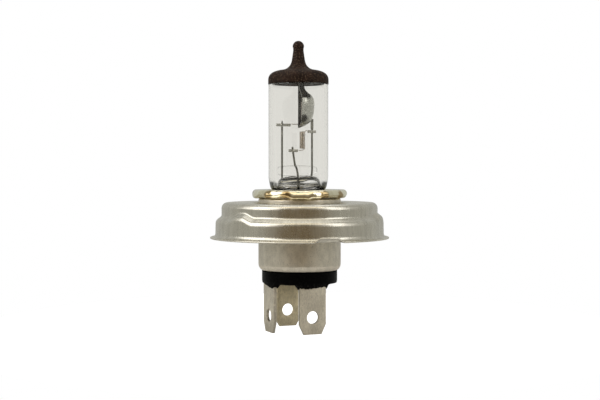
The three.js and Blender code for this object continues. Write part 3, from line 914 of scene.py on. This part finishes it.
class BULB_OT_sleeve(bpy.types.Operator):
    """Builds the neck, crimped in at its foot and turned in at its top"""

    bl_idname = "bulb.sleeve"
    bl_label = "Sleeve"

    def execute(self, context):
        sizes = context.scene.bulb_sizes
        sheet = sizes.sleeve_sheet
        outer = radius_of("sleeve") - sheet / 2
        foot = foot_of("sleeve") + sheet / 2
        top = top_of("sleeve") - sheet / 2
        throat = 8.8 * MM
        middle = joined(
            bend((radius_of("insulator_base") + 0.1 * MM, foot), (outer, foot + 0.6 * MM),
                 (outer, foot + 1.4 * MM)),
            bend((outer, top - 0.6 * MM), (outer, top), (outer - 0.6 * MM, top)),
            [(throat, top)],
        )
        section = sheet_section(subdivided(middle, 1 * MM), sheet)
        piece = turned("sleeve_skin", section, CAP_AXIS, sizes.facets)
        finished(piece, ["sleeve"], "sleeve_steel", tidy=False)
        return {"FINISHED"}


# Where the collar's rolled edge dips: azimuth and half width in degrees, and how far.
COLLAR_WAVES = ((-23, 17, 1.0), (-4, 13, 0.6), (-62, 16, 0.4), (45, 18, 0.5), (100, 22, 0.6),
                (160, 26, 0.8), (215, 22, 0.7), (262, 18, 0.6))


class BULB_OT_collar_ring(bpy.types.Operator):
    """Builds the polished ring that the burner is set in, with its rolled edge"""

    bl_idname = "bulb.collar_ring"
    bl_label = "Collar ring"

    def execute(self, context):
        sizes = context.scene.bulb_sizes
        sheet = sizes.collar_sheet
        half = sheet / 2
        outer = radius_of("collar_ring") - half
        foot = foot_of("collar_ring") + half
        top = top_of("collar_ring") - half
        roll = (top - foot) / 2
        middle = joined(
            [(radius_of("sleeve") - 0.1 * MM, foot)],
            arc((outer - roll, foot + roll), roll, -90, 75, 20),
            bends((outer - roll - 0.6 * MM, top - 0.02 * MM), (10 * MM, top), (9 * MM, top),
                  (8.6 * MM, top), (8.58 * MM, top - 0.45 * MM)),
        )

        def crumpled(azimuth, r, z):
            edge = smoothstep(r, 10.6 * MM, outer - 0.4 * MM)
            low = 1 - smoothstep(z, foot, top)
            tabs = sum(
                drop * crest(azimuth, math.radians(wave), half_width)
                for wave, half_width, drop in COLLAR_WAVES
            )
            wobble = 0.05 * math.sin(5 * azimuth) + 0.03 * math.sin(11 * azimuth + 2)
            return (
                r - 0.55 * MM * edge * tabs * (1 - low) - 0.1 * MM * edge * (1 - tabs),
                z - (0.5 * tabs + wobble) * MM * edge * low,
            )

        section = sheet_section(subdivided(middle, 0.25 * MM), sheet)
        piece = turned("collar_ring_skin", section, CAP_AXIS, 2 * sizes.facets, crumpled)
        finished(piece, ["collar_ring"], "collar_gold", tidy=False)
        return {"FINISHED"}


class BULB_OT_insulator_base(bpy.types.Operator):
    """Builds the moulded black base under the sleeve"""

    bl_idname = "bulb.insulator_base"
    bl_label = "Insulator base"

    def execute(self, context):
        sizes = context.scene.bulb_sizes
        radius = radius_of("insulator_base")
        foot = foot_of("insulator_base")
        top = top_of("insulator_base")
        groove = radius - 0.5 * MM
        crimp = foot_of("sleeve")
        outline = joined(
            [(0, foot), (radius - 0.4 * MM, foot)],
            arc((radius - 0.35 * MM, foot + 0.35 * MM), 0.35 * MM, -90, 0, 6),
            [(radius, crimp - 0.3 * MM), (groove, crimp - 0.2 * MM), (groove, crimp + 1.6 * MM)],
            [(radius, top - 0.1 * MM), (0, top)],
        )
        piece = turned("insulator_base_skin", outline, CAP_AXIS, sizes.facets)
        finished(piece, ["insulator_base"], "black_insulator")
        return {"FINISHED"}


# The compound's drips in millimetres: across, back, size and depth.
DRIPS = (
    (-4.0, -8.4, 0.5, 1.3), (-7.6, -3.6, 0.5, 0.9), (3.9, -8.7, 0.6, 1.0), (1.2, -9.2, 0.5, 0.3),
)
# How deep its general mound and its ledge in front of the high beam blade are, in millimetres.
MOUND_DEPTH = 0.25
LEDGE_DEPTH = 0.75
# Unevenness: lumps and waves per metre, and how much of its depth is ragged.
LUMP_SCALE = 900
WAVE_SCALE = 250
RAGGED_SHARE = 0.45


class BULB_OT_potting_compound(bpy.types.Operator):
    """Builds the hand-laid black compound round the roots of the blades"""

    bl_idname = "bulb.potting_compound"
    bl_label = "Potting compound"

    def execute(self, context):
        top = top_of("potting_compound")
        buried = top + 0.3 * MM
        reach = radius_of("insulator_base") - 0.1 * MM
        outline = subdivided([(0, top), (reach, top)], 0.2 * MM) + [(reach, buried), (0, buried)]
        high_face = -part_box("high_beam_terminal")[0].y

        def drip(x, y, across, back, size, depth):
            away = (x - across * MM) ** 2 + (y - back * MM) ** 2
            return depth * math.exp(-away / (size * MM) ** 2)

        def laid(azimuth, r, z):
            if z > top:
                return r, z
            x, y = r * math.sin(azimuth), -r * math.cos(azimuth)
            spot = Vector((x, y, 0))
            ragged = noise.fractal(spot * LUMP_SCALE, 0.8, 2.0, 4)
            coarse = noise.fractal(spot * WAVE_SCALE, 0.8, 2.0, 2)
            mound = 1 - smoothstep(r, (7.0 + 0.5 * coarse) * MM, (7.8 + 0.5 * coarse) * MM)
            ledge = smoothstep(-y, high_face - 1.9 * MM, high_face - 1.4 * MM)
            ledge *= 1 - smoothstep(abs(x), 3.8 * MM, (4.6 + 0.6 * ragged) * MM)
            side = smoothstep(-x, 7.2 * MM, 7.7 * MM) * smoothstep(-y, -2.6 * MM, 3.4 * MM)
            side *= 1 - smoothstep(-y, 3.4 * MM, 4.4 * MM)
            drips = sum(drip(x, y, *each) for each in DRIPS)
            depth = max(MOUND_DEPTH * mound, (LEDGE_DEPTH + 0.3 * coarse) * ledge, side, drips)
            edge = 1 - smoothstep(r, reach - 0.25 * MM, reach)
            return r, z - (depth + RAGGED_SHARE * ragged * min(1, depth)) * MM * edge

        piece = turned("potting_compound_skin", outline, Vector((0, 0)), 288, laid)
        finished(piece, ["potting_compound"], "black_compound")
        return {"FINISHED"}


# Each blade: its node, turn in degrees, slot, and chamfer across and along its tip in millimetres.
BLADES = (
    ("high_beam_terminal", 0, "blade_metal", 1.25, 2.6),
    ("low_beam_terminal", -90, "blade_metal", 1.25, 2.6),
    ("ground_terminal", 180, "ground_blade_metal", 0.75, 1.2),
)
BLADE_HOLE_HEIGHT = 4.45 * MM
BLADE_HOLE_RADIUS = 1.65 * MM


class BULB_OT_blades(bpy.types.Operator):
    """Builds the three flat blades with their chamfered tips and holes"""

    bl_idname = "bulb.blades"
    bl_label = "Blades"

    def execute(self, context):
        sizes = context.scene.bulb_sizes
        root = foot_of("potting_compound") + 1.2 * MM
        for node, turn, slot, corner_x, corner_z in BLADES:
            low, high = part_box(node)
            size = high - low
            half = max(size.x, size.y) / 2
            thickness = min(size.x, size.y)
            centre = (low + high) / 2
            shoulder = low.z + corner_z * MM
            outline = [
                (-half + corner_x * MM, low.z), (half - corner_x * MM, low.z),
                (half, shoulder), (half, root), (-half, root), (-half, shoulder),
            ]
            hole = circle(0, low.z + BLADE_HOLE_HEIGHT, BLADE_HOLE_RADIUS)
            piece = plate(node + "_skin", outline, [hole], thickness, sizes.blade_edge)
            place_mesh(piece, math.radians(turn), (centre.x, centre.y, 0))
            finished(piece, [node], slot, sharp_angle=30)
        return {"FINISHED"}


# ---- Glass --------------------------------------------------------------------------------------


def dome_line(sizes, steps=16):
    """The outside of the dome and its drawn-off tip, from the tube up to the axis."""
    tube = radius_of("glass_envelope")
    tip = top_of("glass_envelope")
    start = sizes.dome_start
    neck = 1.27 * MM
    bead = 1.42 * MM
    bead_height = tip - bead
    shoulder = (5 * MM, start + 2.45 * MM)
    shaft = (1.7 * MM, start + 5 * MM)
    throat = (neck, bead_height - 1 * MM)
    line = joined(
        bends(
            (tube, start), (tube, start + 2 * MM), shoulder, (2.2 * MM, start + 2.7 * MM), shaft,
            (1.5 * MM, start + 6.1 * MM), throat, (neck, bead_height - 0.4 * MM),
            (bead, bead_height), steps=steps,
        ),
        arc((0, bead_height), bead, 0, 90, steps),
    )
    return line[:-1] + [(0, line[-1][1])]


class BULB_OT_glass_envelope(bpy.types.Operator):
    """Builds the quartz tube, its domed tip and the solid pinch below its hollow"""

    bl_idname = "bulb.glass_envelope"
    bl_label = "Glass envelope"

    def execute(self, context):
        sizes = context.scene.bulb_sizes
        tube = radius_of("glass_envelope")
        bore = tube - sizes.tube_wall
        foot = foot_of("glass_envelope")
        start = sizes.dome_start
        outside = joined(
            [(0, foot)],
            bends(
                (5.2 * MM, foot), (5.4 * MM, 11.6 * MM), (6.4 * MM, 12.2 * MM),
                (7.3 * MM, 12.6 * MM), (7.5 * MM, 13.3 * MM), (7.8 * MM, 14.4 * MM),
                (tube, 15.9 * MM),
            ),
            dome_line(sizes),
        )
        hollow = joined(
            [(0, start + 1.5 * MM)],
            bend((4.6 * MM, start + 1.35 * MM), (bore, start + 1.15 * MM),
                 (bore, start - 0.9 * MM)),
            bends(
                (bore, 15.8 * MM), (bore, 13.0 * MM), (6.3 * MM, 12.95 * MM),
                (5.8 * MM, 13.1 * MM), (5.7 * MM, 14.4 * MM), (5.6 * MM, 15.75 * MM),
                (4.4 * MM, 16.0 * MM), (2.2 * MM, 16.3 * MM), (0, 16.3 * MM),
            ),
        )

        def settled(azimuth, r, z):
            low = 1 - smoothstep(z, 14.5 * MM, 18 * MM)
            wander = sum(
                share * math.sin(waves * azimuth + lead)
                for waves, share, lead in ((2, 1, 1), (3, 0.6, 0), (7, 0.4, 0))
            )
            return r * (1 - 0.012 * low * wander), z + 0.16 * MM * low * wander

        piece = turned("quartz_tube", subdivided(outside, 1.2 * MM), BURNER_AXIS, sizes.facets)
        inner = turned("hollow", subdivided(hollow, 1.2 * MM), BURNER_AXIS, sizes.facets, settled)
        work = bmesh.new()
        work.from_mesh(piece.data)
        work.from_mesh(inner.data)
        work.to_mesh(piece.data)
        work.free()
        bpy.data.objects.remove(inner)
        finished(piece, ["glass_envelope"], "quartz_glass", tidy=False)
        return {"FINISHED"}


# The pinch from its cut end up, stretched to reach the tube: height, half width and half
# thickness in millimetres.
PINCH_STATIONS = (
    (0.0, 6.7, 1.7), (0.3, 7.0, 2.0), (1.0, 7.1, 2.1), (10.6, 7.1, 2.1), (11.6, 7.0, 2.3),
    (12.6, 6.2, 3.4), (13.5, 5.3, 4.8),
)


class BULB_OT_pinch_seal(bpy.types.Operator):
    """Builds the flat pressed end of the glass that the foils are sealed in"""

    bl_idname = "bulb.pinch_seal"
    bl_label = "Pinch seal"

    def execute(self, context):
        foot = foot_of("pinch_seal")
        rise = (foot_of("glass_envelope") - 0.02 * MM - foot) / PINCH_STATIONS[-1][0]
        rows = []
        for height, half_width, half_thickness in PINCH_STATIONS:
            row = []
            for k in range(64):
                angle = 2 * math.pi * k / 64
                x, y = math.cos(angle), math.sin(angle)
                row.append(Vector((
                    half_width * MM * math.copysign(abs(x) ** 0.5, x),
                    half_thickness * MM * math.copysign(abs(y) ** 0.5, y),
                    foot + height * rise,
                )))
            rows.append(row)
        piece = on_burner(ringed("pressed_quartz", rows))
        finished(piece, ["pinch_seal"], "quartz_glass")
        return {"FINISHED"}


class BULB_OT_tip_paint(bpy.types.Operator):
    """Builds the dark paint over the dome, the tip and the top of the tube"""

    bl_idname = "bulb.tip_paint"
    bl_label = "Tip paint"

    def execute(self, context):
        sizes = context.scene.bulb_sizes
        edge = foot_of("tip_paint")
        line = joined([(radius_of("glass_envelope"), edge)], dome_line(sizes))
        line = subdivided(line, 0.6 * MM)
        inside = offset_line(line, -0.04 * MM)[::-1]
        outside = offset_line(line, sizes.paint_sheet)
        piece = turned("tip_paint_skin", joined(inside, outside), BURNER_AXIS, sizes.facets)
        finished(piece, ["tip_paint"], "tip_paint", tidy=False)
        return {"FINISHED"}


# The bridge's depth as a share of its height, and how blunt its ends are: 0 is square.
BRIDGE_DEPTH_SHARE = 0.75
BRIDGE_BLUNTNESS = 0.35


class BULB_OT_quartz_bridge(bpy.types.Operator):
    """Builds the quartz bar that holds the three posts apart"""

    bl_idname = "bulb.quartz_bridge"
    bl_label = "Quartz bridge"

    def execute(self, context):
        low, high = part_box("quartz_bridge")
        middle = centre_of("quartz_bridge")
        half_length = (high.x - low.x) / 2
        half_height = (high.z - low.z) / 2
        stations = 28
        rows = []
        for j in range(1, stations):
            angle = math.pi * j / stations
            reach = math.sin(angle) ** BRIDGE_BLUNTNESS
            section = circle(0, 0, half_height * reach, 32)
            rows.append([
                Vector((-half_length * math.cos(angle), BRIDGE_DEPTH_SHARE * y, z))
                for y, z in section
            ])
        piece = ringed("quartz_bar", rows)
        place_mesh(piece, BURNER_TURN, middle)
        finished(piece, ["quartz_bridge"], "quartz_glass", "bridge_glass")
        return {"FINISHED"}


# ---- Mount inside the glass ---------------------------------------------------------------------


def burner_route(places):
    """A smooth line through places in millimetres, about the burner's own axis."""
    return smooth_route([Vector(place) * MM for place in places])


# The posts' routes in millimetres.
POST_ROUTES = {
    "low": [(-4.45, 0, 4.4), (-4.45, 0, 18), (-4.45, 0, 31.1)],
    "high": [
        (0, 0, 4.4), (0, 0, 14), (-0.35, 0, 17.5), (-0.9, 0, 19), (-1.15, 0, 20.4), (-1.7, 0, 24.2),
    ],
    "common": [(3.8, 0, 4.4), (3.8, 0, 18), (3.8, 0, 30.1)],
}
# Each weld tab and the post that it is folded round.
TABS = {"low_tab": "low_post", "high_upper_tab": "common_post", "high_lower_tab": "high_post"}


class BULB_OT_posts(bpy.types.Operator):
    """Builds the three lead posts"""

    bl_idname = "bulb.posts"
    bl_label = "Lead posts"

    def execute(self, context):
        sizes = context.scene.bulb_sizes
        for circuit, route in POST_ROUTES.items():
            line = burner_route(route)
            piece = on_burner(wire(circuit + "_post_wire", line, sizes.post_radius))
            finished(piece, [circuit + "_post"], "lead_metal")
        return {"FINISHED"}


class BULB_OT_weld_tabs(bpy.types.Operator):
    """Builds the folded strips that hold the filaments' legs to the posts"""

    bl_idname = "bulb.weld_tabs"
    bl_label = "Weld tabs"

    def execute(self, context):
        sizes = context.scene.bulb_sizes
        turn_back = Matrix.Rotation(-BURNER_TURN, 4, "Z")
        for tab, post in TABS.items():
            low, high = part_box(tab)
            middle = turn_back @ (centre_of(tab) - Vector((*BURNER_AXIS, 0)))
            half_length = (high.x - low.x) / 2 - 0.05 * MM
            height = high.z - low.z
            crossing = post_crossing(post, centre_of(tab).z, turn_back)
            piece = folded_strip(
                tab + "_strip", middle, half_length, height, crossing.x, sizes.post_radius
            )
            on_burner(piece)
            finished(piece, [tab], "lead_metal", "tab_metal_painted_lighter")
        return {"FINISHED"}


def post_crossing(post, height, turn_back):
    """Where a post passes a height, about the burner's own axis."""
    spots = [v.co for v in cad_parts[post].data.vertices]
    nearest = sorted(spots, key=lambda spot: abs(spot.z - height))[:16]
    middle = sum(nearest, Vector()) / len(nearest)
    return turn_back @ (middle - Vector((*BURNER_AXIS, 0)))


def folded_strip(name, middle, half_length, height, post_x, post_radius):
    """A strip folded back on itself that bulges round the post in its middle."""
    gap = 0.12 * MM
    sheet = 0.18 * MM
    steps = 60
    near = []
    for i in range(steps + 1):
        x = middle.x - half_length + sheet + (2 * half_length - sheet) * i / steps
        bulge = math.exp(-((x - post_x) / (1.2 * post_radius)) ** 2)
        near.append((x, gap + (post_radius + sheet / 2 - gap + 0.02 * MM) * bulge))
    fold = arc((near[0][0], 0), gap, 90, 270, 10)
    middle_line = joined(near[::-1], fold, [(x, -y) for x, y in near])
    outline = sheet_section(middle_line, sheet)[:-1]
    rows = []
    for inset, level in ((0.03, 0.0), (0.0, 0.08), (0.0, 0.92), (0.03, 1.0)):
        squeezed = offset_line([*outline, outline[0]], -inset * MM)[:-1]
        z = middle.z - height / 2 + height * level
        rows.append([Vector((x, y + middle.y, z)) for x, y in squeezed])
    return ringed(name, rows)


def coil_line(x, foot, height, radius, turns, per_turn=16):
    """The places of a coil about an upright line, from its size in millimetres."""
    line = []
    for i in range(turns * per_turn + 1):
        angle = 2 * math.pi * i / per_turn
        z = foot + height * i / (turns * per_turn)
        line.append(Vector((x + radius * math.cos(angle), radius * math.sin(angle), z)) * MM)
    return line


# Each filament in millimetres: its lower leg, its coil as above, and its upper leg.
FILAMENTS = {
    "low_beam_filament": (
        ((-2.1, -0.2, 29.95), (0, -0.2, 29.95), (2.1, 0, 30.4)),
        (1.5, 30.4, 5.5, 0.62, 20),
        ((2.12, 0, 35.9), (1.6, 0.3, 36.8), (1.6, 0.3, 38)),
    ),
    "high_beam_filament": (
        ((-0.1, -0.2, 23), (1.2, -0.2, 23.1), (1.79, 0, 23.5)),
        (1.1, 23.5, 4.5, 0.69, 18),
        ((1.79, 0, 28), (2.1, -0.2, 28.25), (2.45, -0.2, 28.2)),
    ),
}
FILAMENT_WIRE_RADIUS = 0.1 * MM


class BULB_OT_filaments(bpy.types.Operator):
    """Winds the low beam and high beam filaments with their legs"""

    bl_idname = "bulb.filaments"
    bl_label = "Filaments"

    def execute(self, context):
        for node, (lower, coil, upper) in FILAMENTS.items():
            line = burner_route(lower)[:-1] + coil_line(*coil) + burner_route(upper)[1:]
            piece = on_burner(wire(node + "_wire", line, FILAMENT_WIRE_RADIUS, 8))
            finished(piece, [node], "tungsten", sharp_angle=60)
        return {"FINISHED"}


# The dip shield's radius at heights in millimetres, from its lower lip up to its neck.
SHIELD_STATIONS = (
    (28.95, 0.45), (29.25, 1.2), (29.6, 1.95), (30.3, 3.0), (31.3, 3.75), (33.0, 4.2), (35.2, 4.36),
    (36.6, 4.2), (37.6, 3.6), (38.3, 2.7), (39.4, 1.8), (41.2, 1.6),
)
# Its front and back edges in degrees round the burner from the common post, and how far off the
# burner's axis it is centred.
SHIELD_FRONT = -90
SHIELD_BACK = 75
SHIELD_SHIFT = -0.1 * MM
STRAP_HALF_WIDTH = 0.29 * MM


class BULB_OT_dip_shield(bpy.types.Operator):
    """Builds the spoon-shaped dip shield and the bar that carries it up the common post"""

    bl_idname = "bulb.dip_shield"
    bl_label = "Dip shield"

    def execute(self, context):
        sheet = context.scene.bulb_sizes.shield_sheet
        profile = smooth_route([Vector((radius, 0, z)) * MM for z, radius in SHIELD_STATIONS], 5)

        def ring(radius, z):
            outer = arc((SHIELD_SHIFT, 0), radius, SHIELD_FRONT, SHIELD_BACK, 48)
            inner = arc((SHIELD_SHIFT, 0), radius - sheet, SHIELD_BACK, SHIELD_FRONT, 48)
            return [Vector((x, y, z)) for x, y in outer + inner]

        piece = on_burner(ringed("dip_shield_skin", [ring(p.x, p.z) for p in profile]))
        finished(piece, ["dip_shield"], "shield_metal", sharp_angle=50)

        low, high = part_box("shield_strap")
        grip = centre_of("common_foil")
        stations = (
            (0.05 * MM, low.z), (0, low.z + 0.05 * MM), (0, high.z - 0.3 * MM),
            (0.1 * MM, high.z - 0.2 * MM),
        )
        rows = []
        for inset, z in stations:
            half = STRAP_HALF_WIDTH - inset
            rows.append([
                Vector((grip.x + half * x, grip.y + half * y, z))
                for x, y in ((-1, -1), (1, -1), (1, 1), (-1, 1))
            ])
        strap = ringed("shield_strap_bar", rows)
        finished(strap, ["shield_strap"], "lead_metal")
        return {"FINISHED"}


class BULB_OT_hidden_metal(bpy.types.Operator):
    """Gives the foils, the outer leads and the pinch clamp their finishes"""

    bl_idname = "bulb.hidden_metal"
    bl_label = "Foils, outer leads and clamp"

    def execute(self, context):
        finishes = {"pinch_clamp": "spring_steel"}
        for circuit in POST_ROUTES:
            finishes[circuit + "_foil"] = "foil_metal"
            finishes[circuit + "_outer_lead"] = "lead_metal"
        for node, slot in finishes.items():
            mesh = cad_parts[node].data
            mesh.materials.clear()
            mesh.materials.append(material_for(slot))
        return {"FINISHED"}


# ---- Stage --------------------------------------------------------------------------------------

CAMERA_AZIMUTH = math.radians(-23)
CAMERA_DISTANCE = 0.300
CAMERA_HEIGHT = 0.0178
CAMERA_AIM_HEIGHT = 0.00975
CAMERA_AIM_RIGHT = 0.00011
CAMERA_LENS = 67.4
FLOOR_RADIUS = 0.09
FLOOR_COLOURS = ((0.60, 0.60, 0.59, 1), (0.66, 0.66, 0.65, 1))
# How much the floor glows, by itself and on top of that where it is seen directly.
FLOOR_GLOW = 0.08
FLOOR_SEEN_GLOW = 0.92

# What the bulb's surfaces reflect of the room, in front of it, beside it and behind it.
FRONT_OF_ROOM = (0.175, 0.133, 0.078, 1)
SIDE_OF_ROOM = (0.40, 0.40, 0.36, 1)
BACK_OF_ROOM = (0.50, 0.51, 0.49, 1)
# What shows through the glass: the level backdrop, and the dark above and below it.
BACKDROP = (0.79, 0.79, 0.765, 1)
DARK_OF_ROOM = (0.02, 0.017, 0.014, 1)

WHITE = (1.0, 1.0, 1.0)
SOFT_BOX_DISTANCE = 0.6
SOFT_BOX_TARGET = Vector((0, 0, 0.012))
# Name, azimuth from the camera and elevation in degrees, width, height, brightness and colour.
SOFT_BOXES = (
    ("left_box", -62, 32, 0.56, 0.50, 1.75, WHITE),
    ("right_box", 57, 32, 0.28, 0.50, 1.6, WHITE),
    ("top_box", 180, 78, 0.5, 0.5, 0.8, WHITE),
    ("front_box", 0, 60, 0.60, 0.22, 1.0, (1.0, 0.84, 0.56)),
)


class BULB_OT_stage(bpy.types.Operator):
    """Sets up the pale floor, the soft studio light and the camera"""

    bl_idname = "bulb.stage"
    bl_label = "Stage"

    def execute(self, context):
        self.floor()
        self.surroundings(context.scene)
        self.soft_boxes()
        self.camera(context.scene)
        return {"FINISHED"}

    def floor(self):
        outline = circle(0, 0, FLOOR_RADIUS, 128)
        corners = [(x, y, cad_box[0].z) for x, y in outline]
        floor = mesh_object("floor", corners, [tuple(range(len(corners)))])
        material, tree, shader = new_material("light_table")
        coordinates = tree.add("ShaderNodeTexCoord")
        fibres = tree.noise(coordinates.outputs["Object"], 400.0, 4.0)
        tree.feed(shader, "Base Color", tree.mix(fibres, *FLOOR_COLOURS))
        tree.feed(shader, "Roughness", 0.9)
        shader.inputs["Specular IOR Level"].default_value = 0.0
        shader.inputs["Emission Color"].default_value = (1, 1, 1, 1)
        seen = tree.add("ShaderNodeLightPath").outputs["Is Camera Ray"]
        glow = tree.maths("ADD", FLOOR_GLOW, tree.scaled(seen, FLOOR_SEEN_GLOW))
        tree.feed(shader, "Emission Strength", glow)
        floor.data.materials.append(material)

    def surroundings(self, scene):
        world = bpy.data.worlds.new("studio")
        world.use_nodes = True
        scene.world = world
        tree = Tree(world.node_tree)
        background = world.node_tree.nodes["Background"]
        direction = tree.add("ShaderNodeTexCoord").outputs["Generated"]
        away = Vector((-math.sin(CAMERA_AZIMUTH), math.cos(CAMERA_AZIMUTH), 0))
        towards_back = tree.vectors("DOT_PRODUCT", direction, away)
        room = tree.mix(tree.steps(towards_back, -0.96, -0.55), FRONT_OF_ROOM, SIDE_OF_ROOM)
        room = tree.mix(tree.steps(towards_back, -0.1, 0.98), room, BACK_OF_ROOM)
        rise = tree.add("ShaderNodeSeparateXYZ", Vector=direction).outputs["Z"]
        slope = tree.maths("ABSOLUTE", rise)
        through_glass = tree.mix(tree.steps(slope, 0.3, 0.7), BACKDROP, DARK_OF_ROOM)
        path = tree.add("ShaderNodeLightPath")
        lit = tree.mix(path.outputs["Is Transmission Ray"], room, through_glass)
        tree.feed(background, "Color", tree.mix(path.outputs["Is Camera Ray"], lit, (1, 1, 1, 1)))
        tree.feed(background, "Strength", 1.0)

    def soft_boxes(self):
        for name, azimuth, elevation, width, height, radiance, tint in SOFT_BOXES:
            turn = CAMERA_AZIMUTH + math.radians(azimuth)
            rise = math.radians(elevation)
            towards = Vector((
                math.sin(turn) * math.cos(rise), -math.cos(turn) * math.cos(rise), math.sin(rise)))
            light = bpy.data.lights.new(name, "AREA")
            light.shape = "RECTANGLE"
            light.size = width
            light.size_y = height
            light.energy = radiance * math.pi * width * height
            light.color = tint
            lamp = bpy.data.objects.new(name, light)
            lamp.location = SOFT_BOX_TARGET + towards * SOFT_BOX_DISTANCE
            lamp.rotation_mode = "QUATERNION"
            lamp.rotation_quaternion = (-towards).to_track_quat("-Z", "Y")
            bpy.context.scene.collection.objects.link(lamp)

    def camera(self, scene):
        data = bpy.data.cameras.new("camera")
        data.lens = CAMERA_LENS
        data.sensor_width = 36
        camera = bpy.data.objects.new("camera", data)
        back = Vector((math.sin(CAMERA_AZIMUTH), -math.cos(CAMERA_AZIMUTH), 0))
        camera.location = back * CAMERA_DISTANCE + Vector((0, 0, CAMERA_HEIGHT))
        right = Vector((math.cos(CAMERA_AZIMUTH), math.sin(CAMERA_AZIMUTH), 0))
        aim = right * CAMERA_AIM_RIGHT + Vector((0, 0, CAMERA_AIM_HEIGHT))
        camera.rotation_mode = "QUATERNION"
        camera.rotation_quaternion = (aim - camera.location).to_track_quat("-Z", "Y")
        data.clip_start = 0.01
        scene.collection.objects.link(camera)
        scene.camera = camera
        scene.view_settings.view_transform = "Standard"


# ---- Panel and registration ---------------------------------------------------------------------

PIECE_OPERATORS = (
    BULB_OT_flange_cup, BULB_OT_sleeve, BULB_OT_collar_ring, BULB_OT_insulator_base,
    BULB_OT_potting_compound, BULB_OT_blades, BULB_OT_glass_envelope, BULB_OT_pinch_seal,
    BULB_OT_tip_paint, BULB_OT_quartz_bridge, BULB_OT_posts, BULB_OT_weld_tabs,
    BULB_OT_filaments, BULB_OT_dip_shield, BULB_OT_hidden_metal, BULB_OT_stage,
)


class BULB_PT_panel(bpy.types.Panel):
    """Lists the bulb's sizes, colours and pieces"""

    bl_idname = "BULB_PT_panel"
    bl_label = "Headlight bulb"
    bl_space_type = "VIEW_3D"
    bl_region_type = "UI"
    bl_category = "Bulb"

    def draw(self, context):
        for settings in (context.scene.bulb_sizes, context.scene.bulb_colours):
            box = self.layout.box()
            for key in settings.__annotations__:
                box.prop(settings, key)
        for operator in PIECE_OPERATORS:
            self.layout.operator(operator.bl_idname)


CLASSES = (BulbSizes, BulbColours, *PIECE_OPERATORS, BULB_PT_panel)


def register():
    for each in CLASSES:
        bpy.utils.register_class(each)
    bpy.types.Scene.bulb_sizes = PointerProperty(type=BulbSizes)
    bpy.types.Scene.bulb_colours = PointerProperty(type=BulbColours)


def unregister():
    del bpy.types.Scene.bulb_colours
    del bpy.types.Scene.bulb_sizes
    for each in reversed(CLASSES):
        bpy.utils.unregister_class(each)


def main():
    """Builds every piece in order."""
    register()
    for operator in PIECE_OPERATORS:
        group, name = operator.bl_idname.split(".")
        getattr(getattr(bpy.ops, group), name)()


if __name__ == "__main__":
    main()
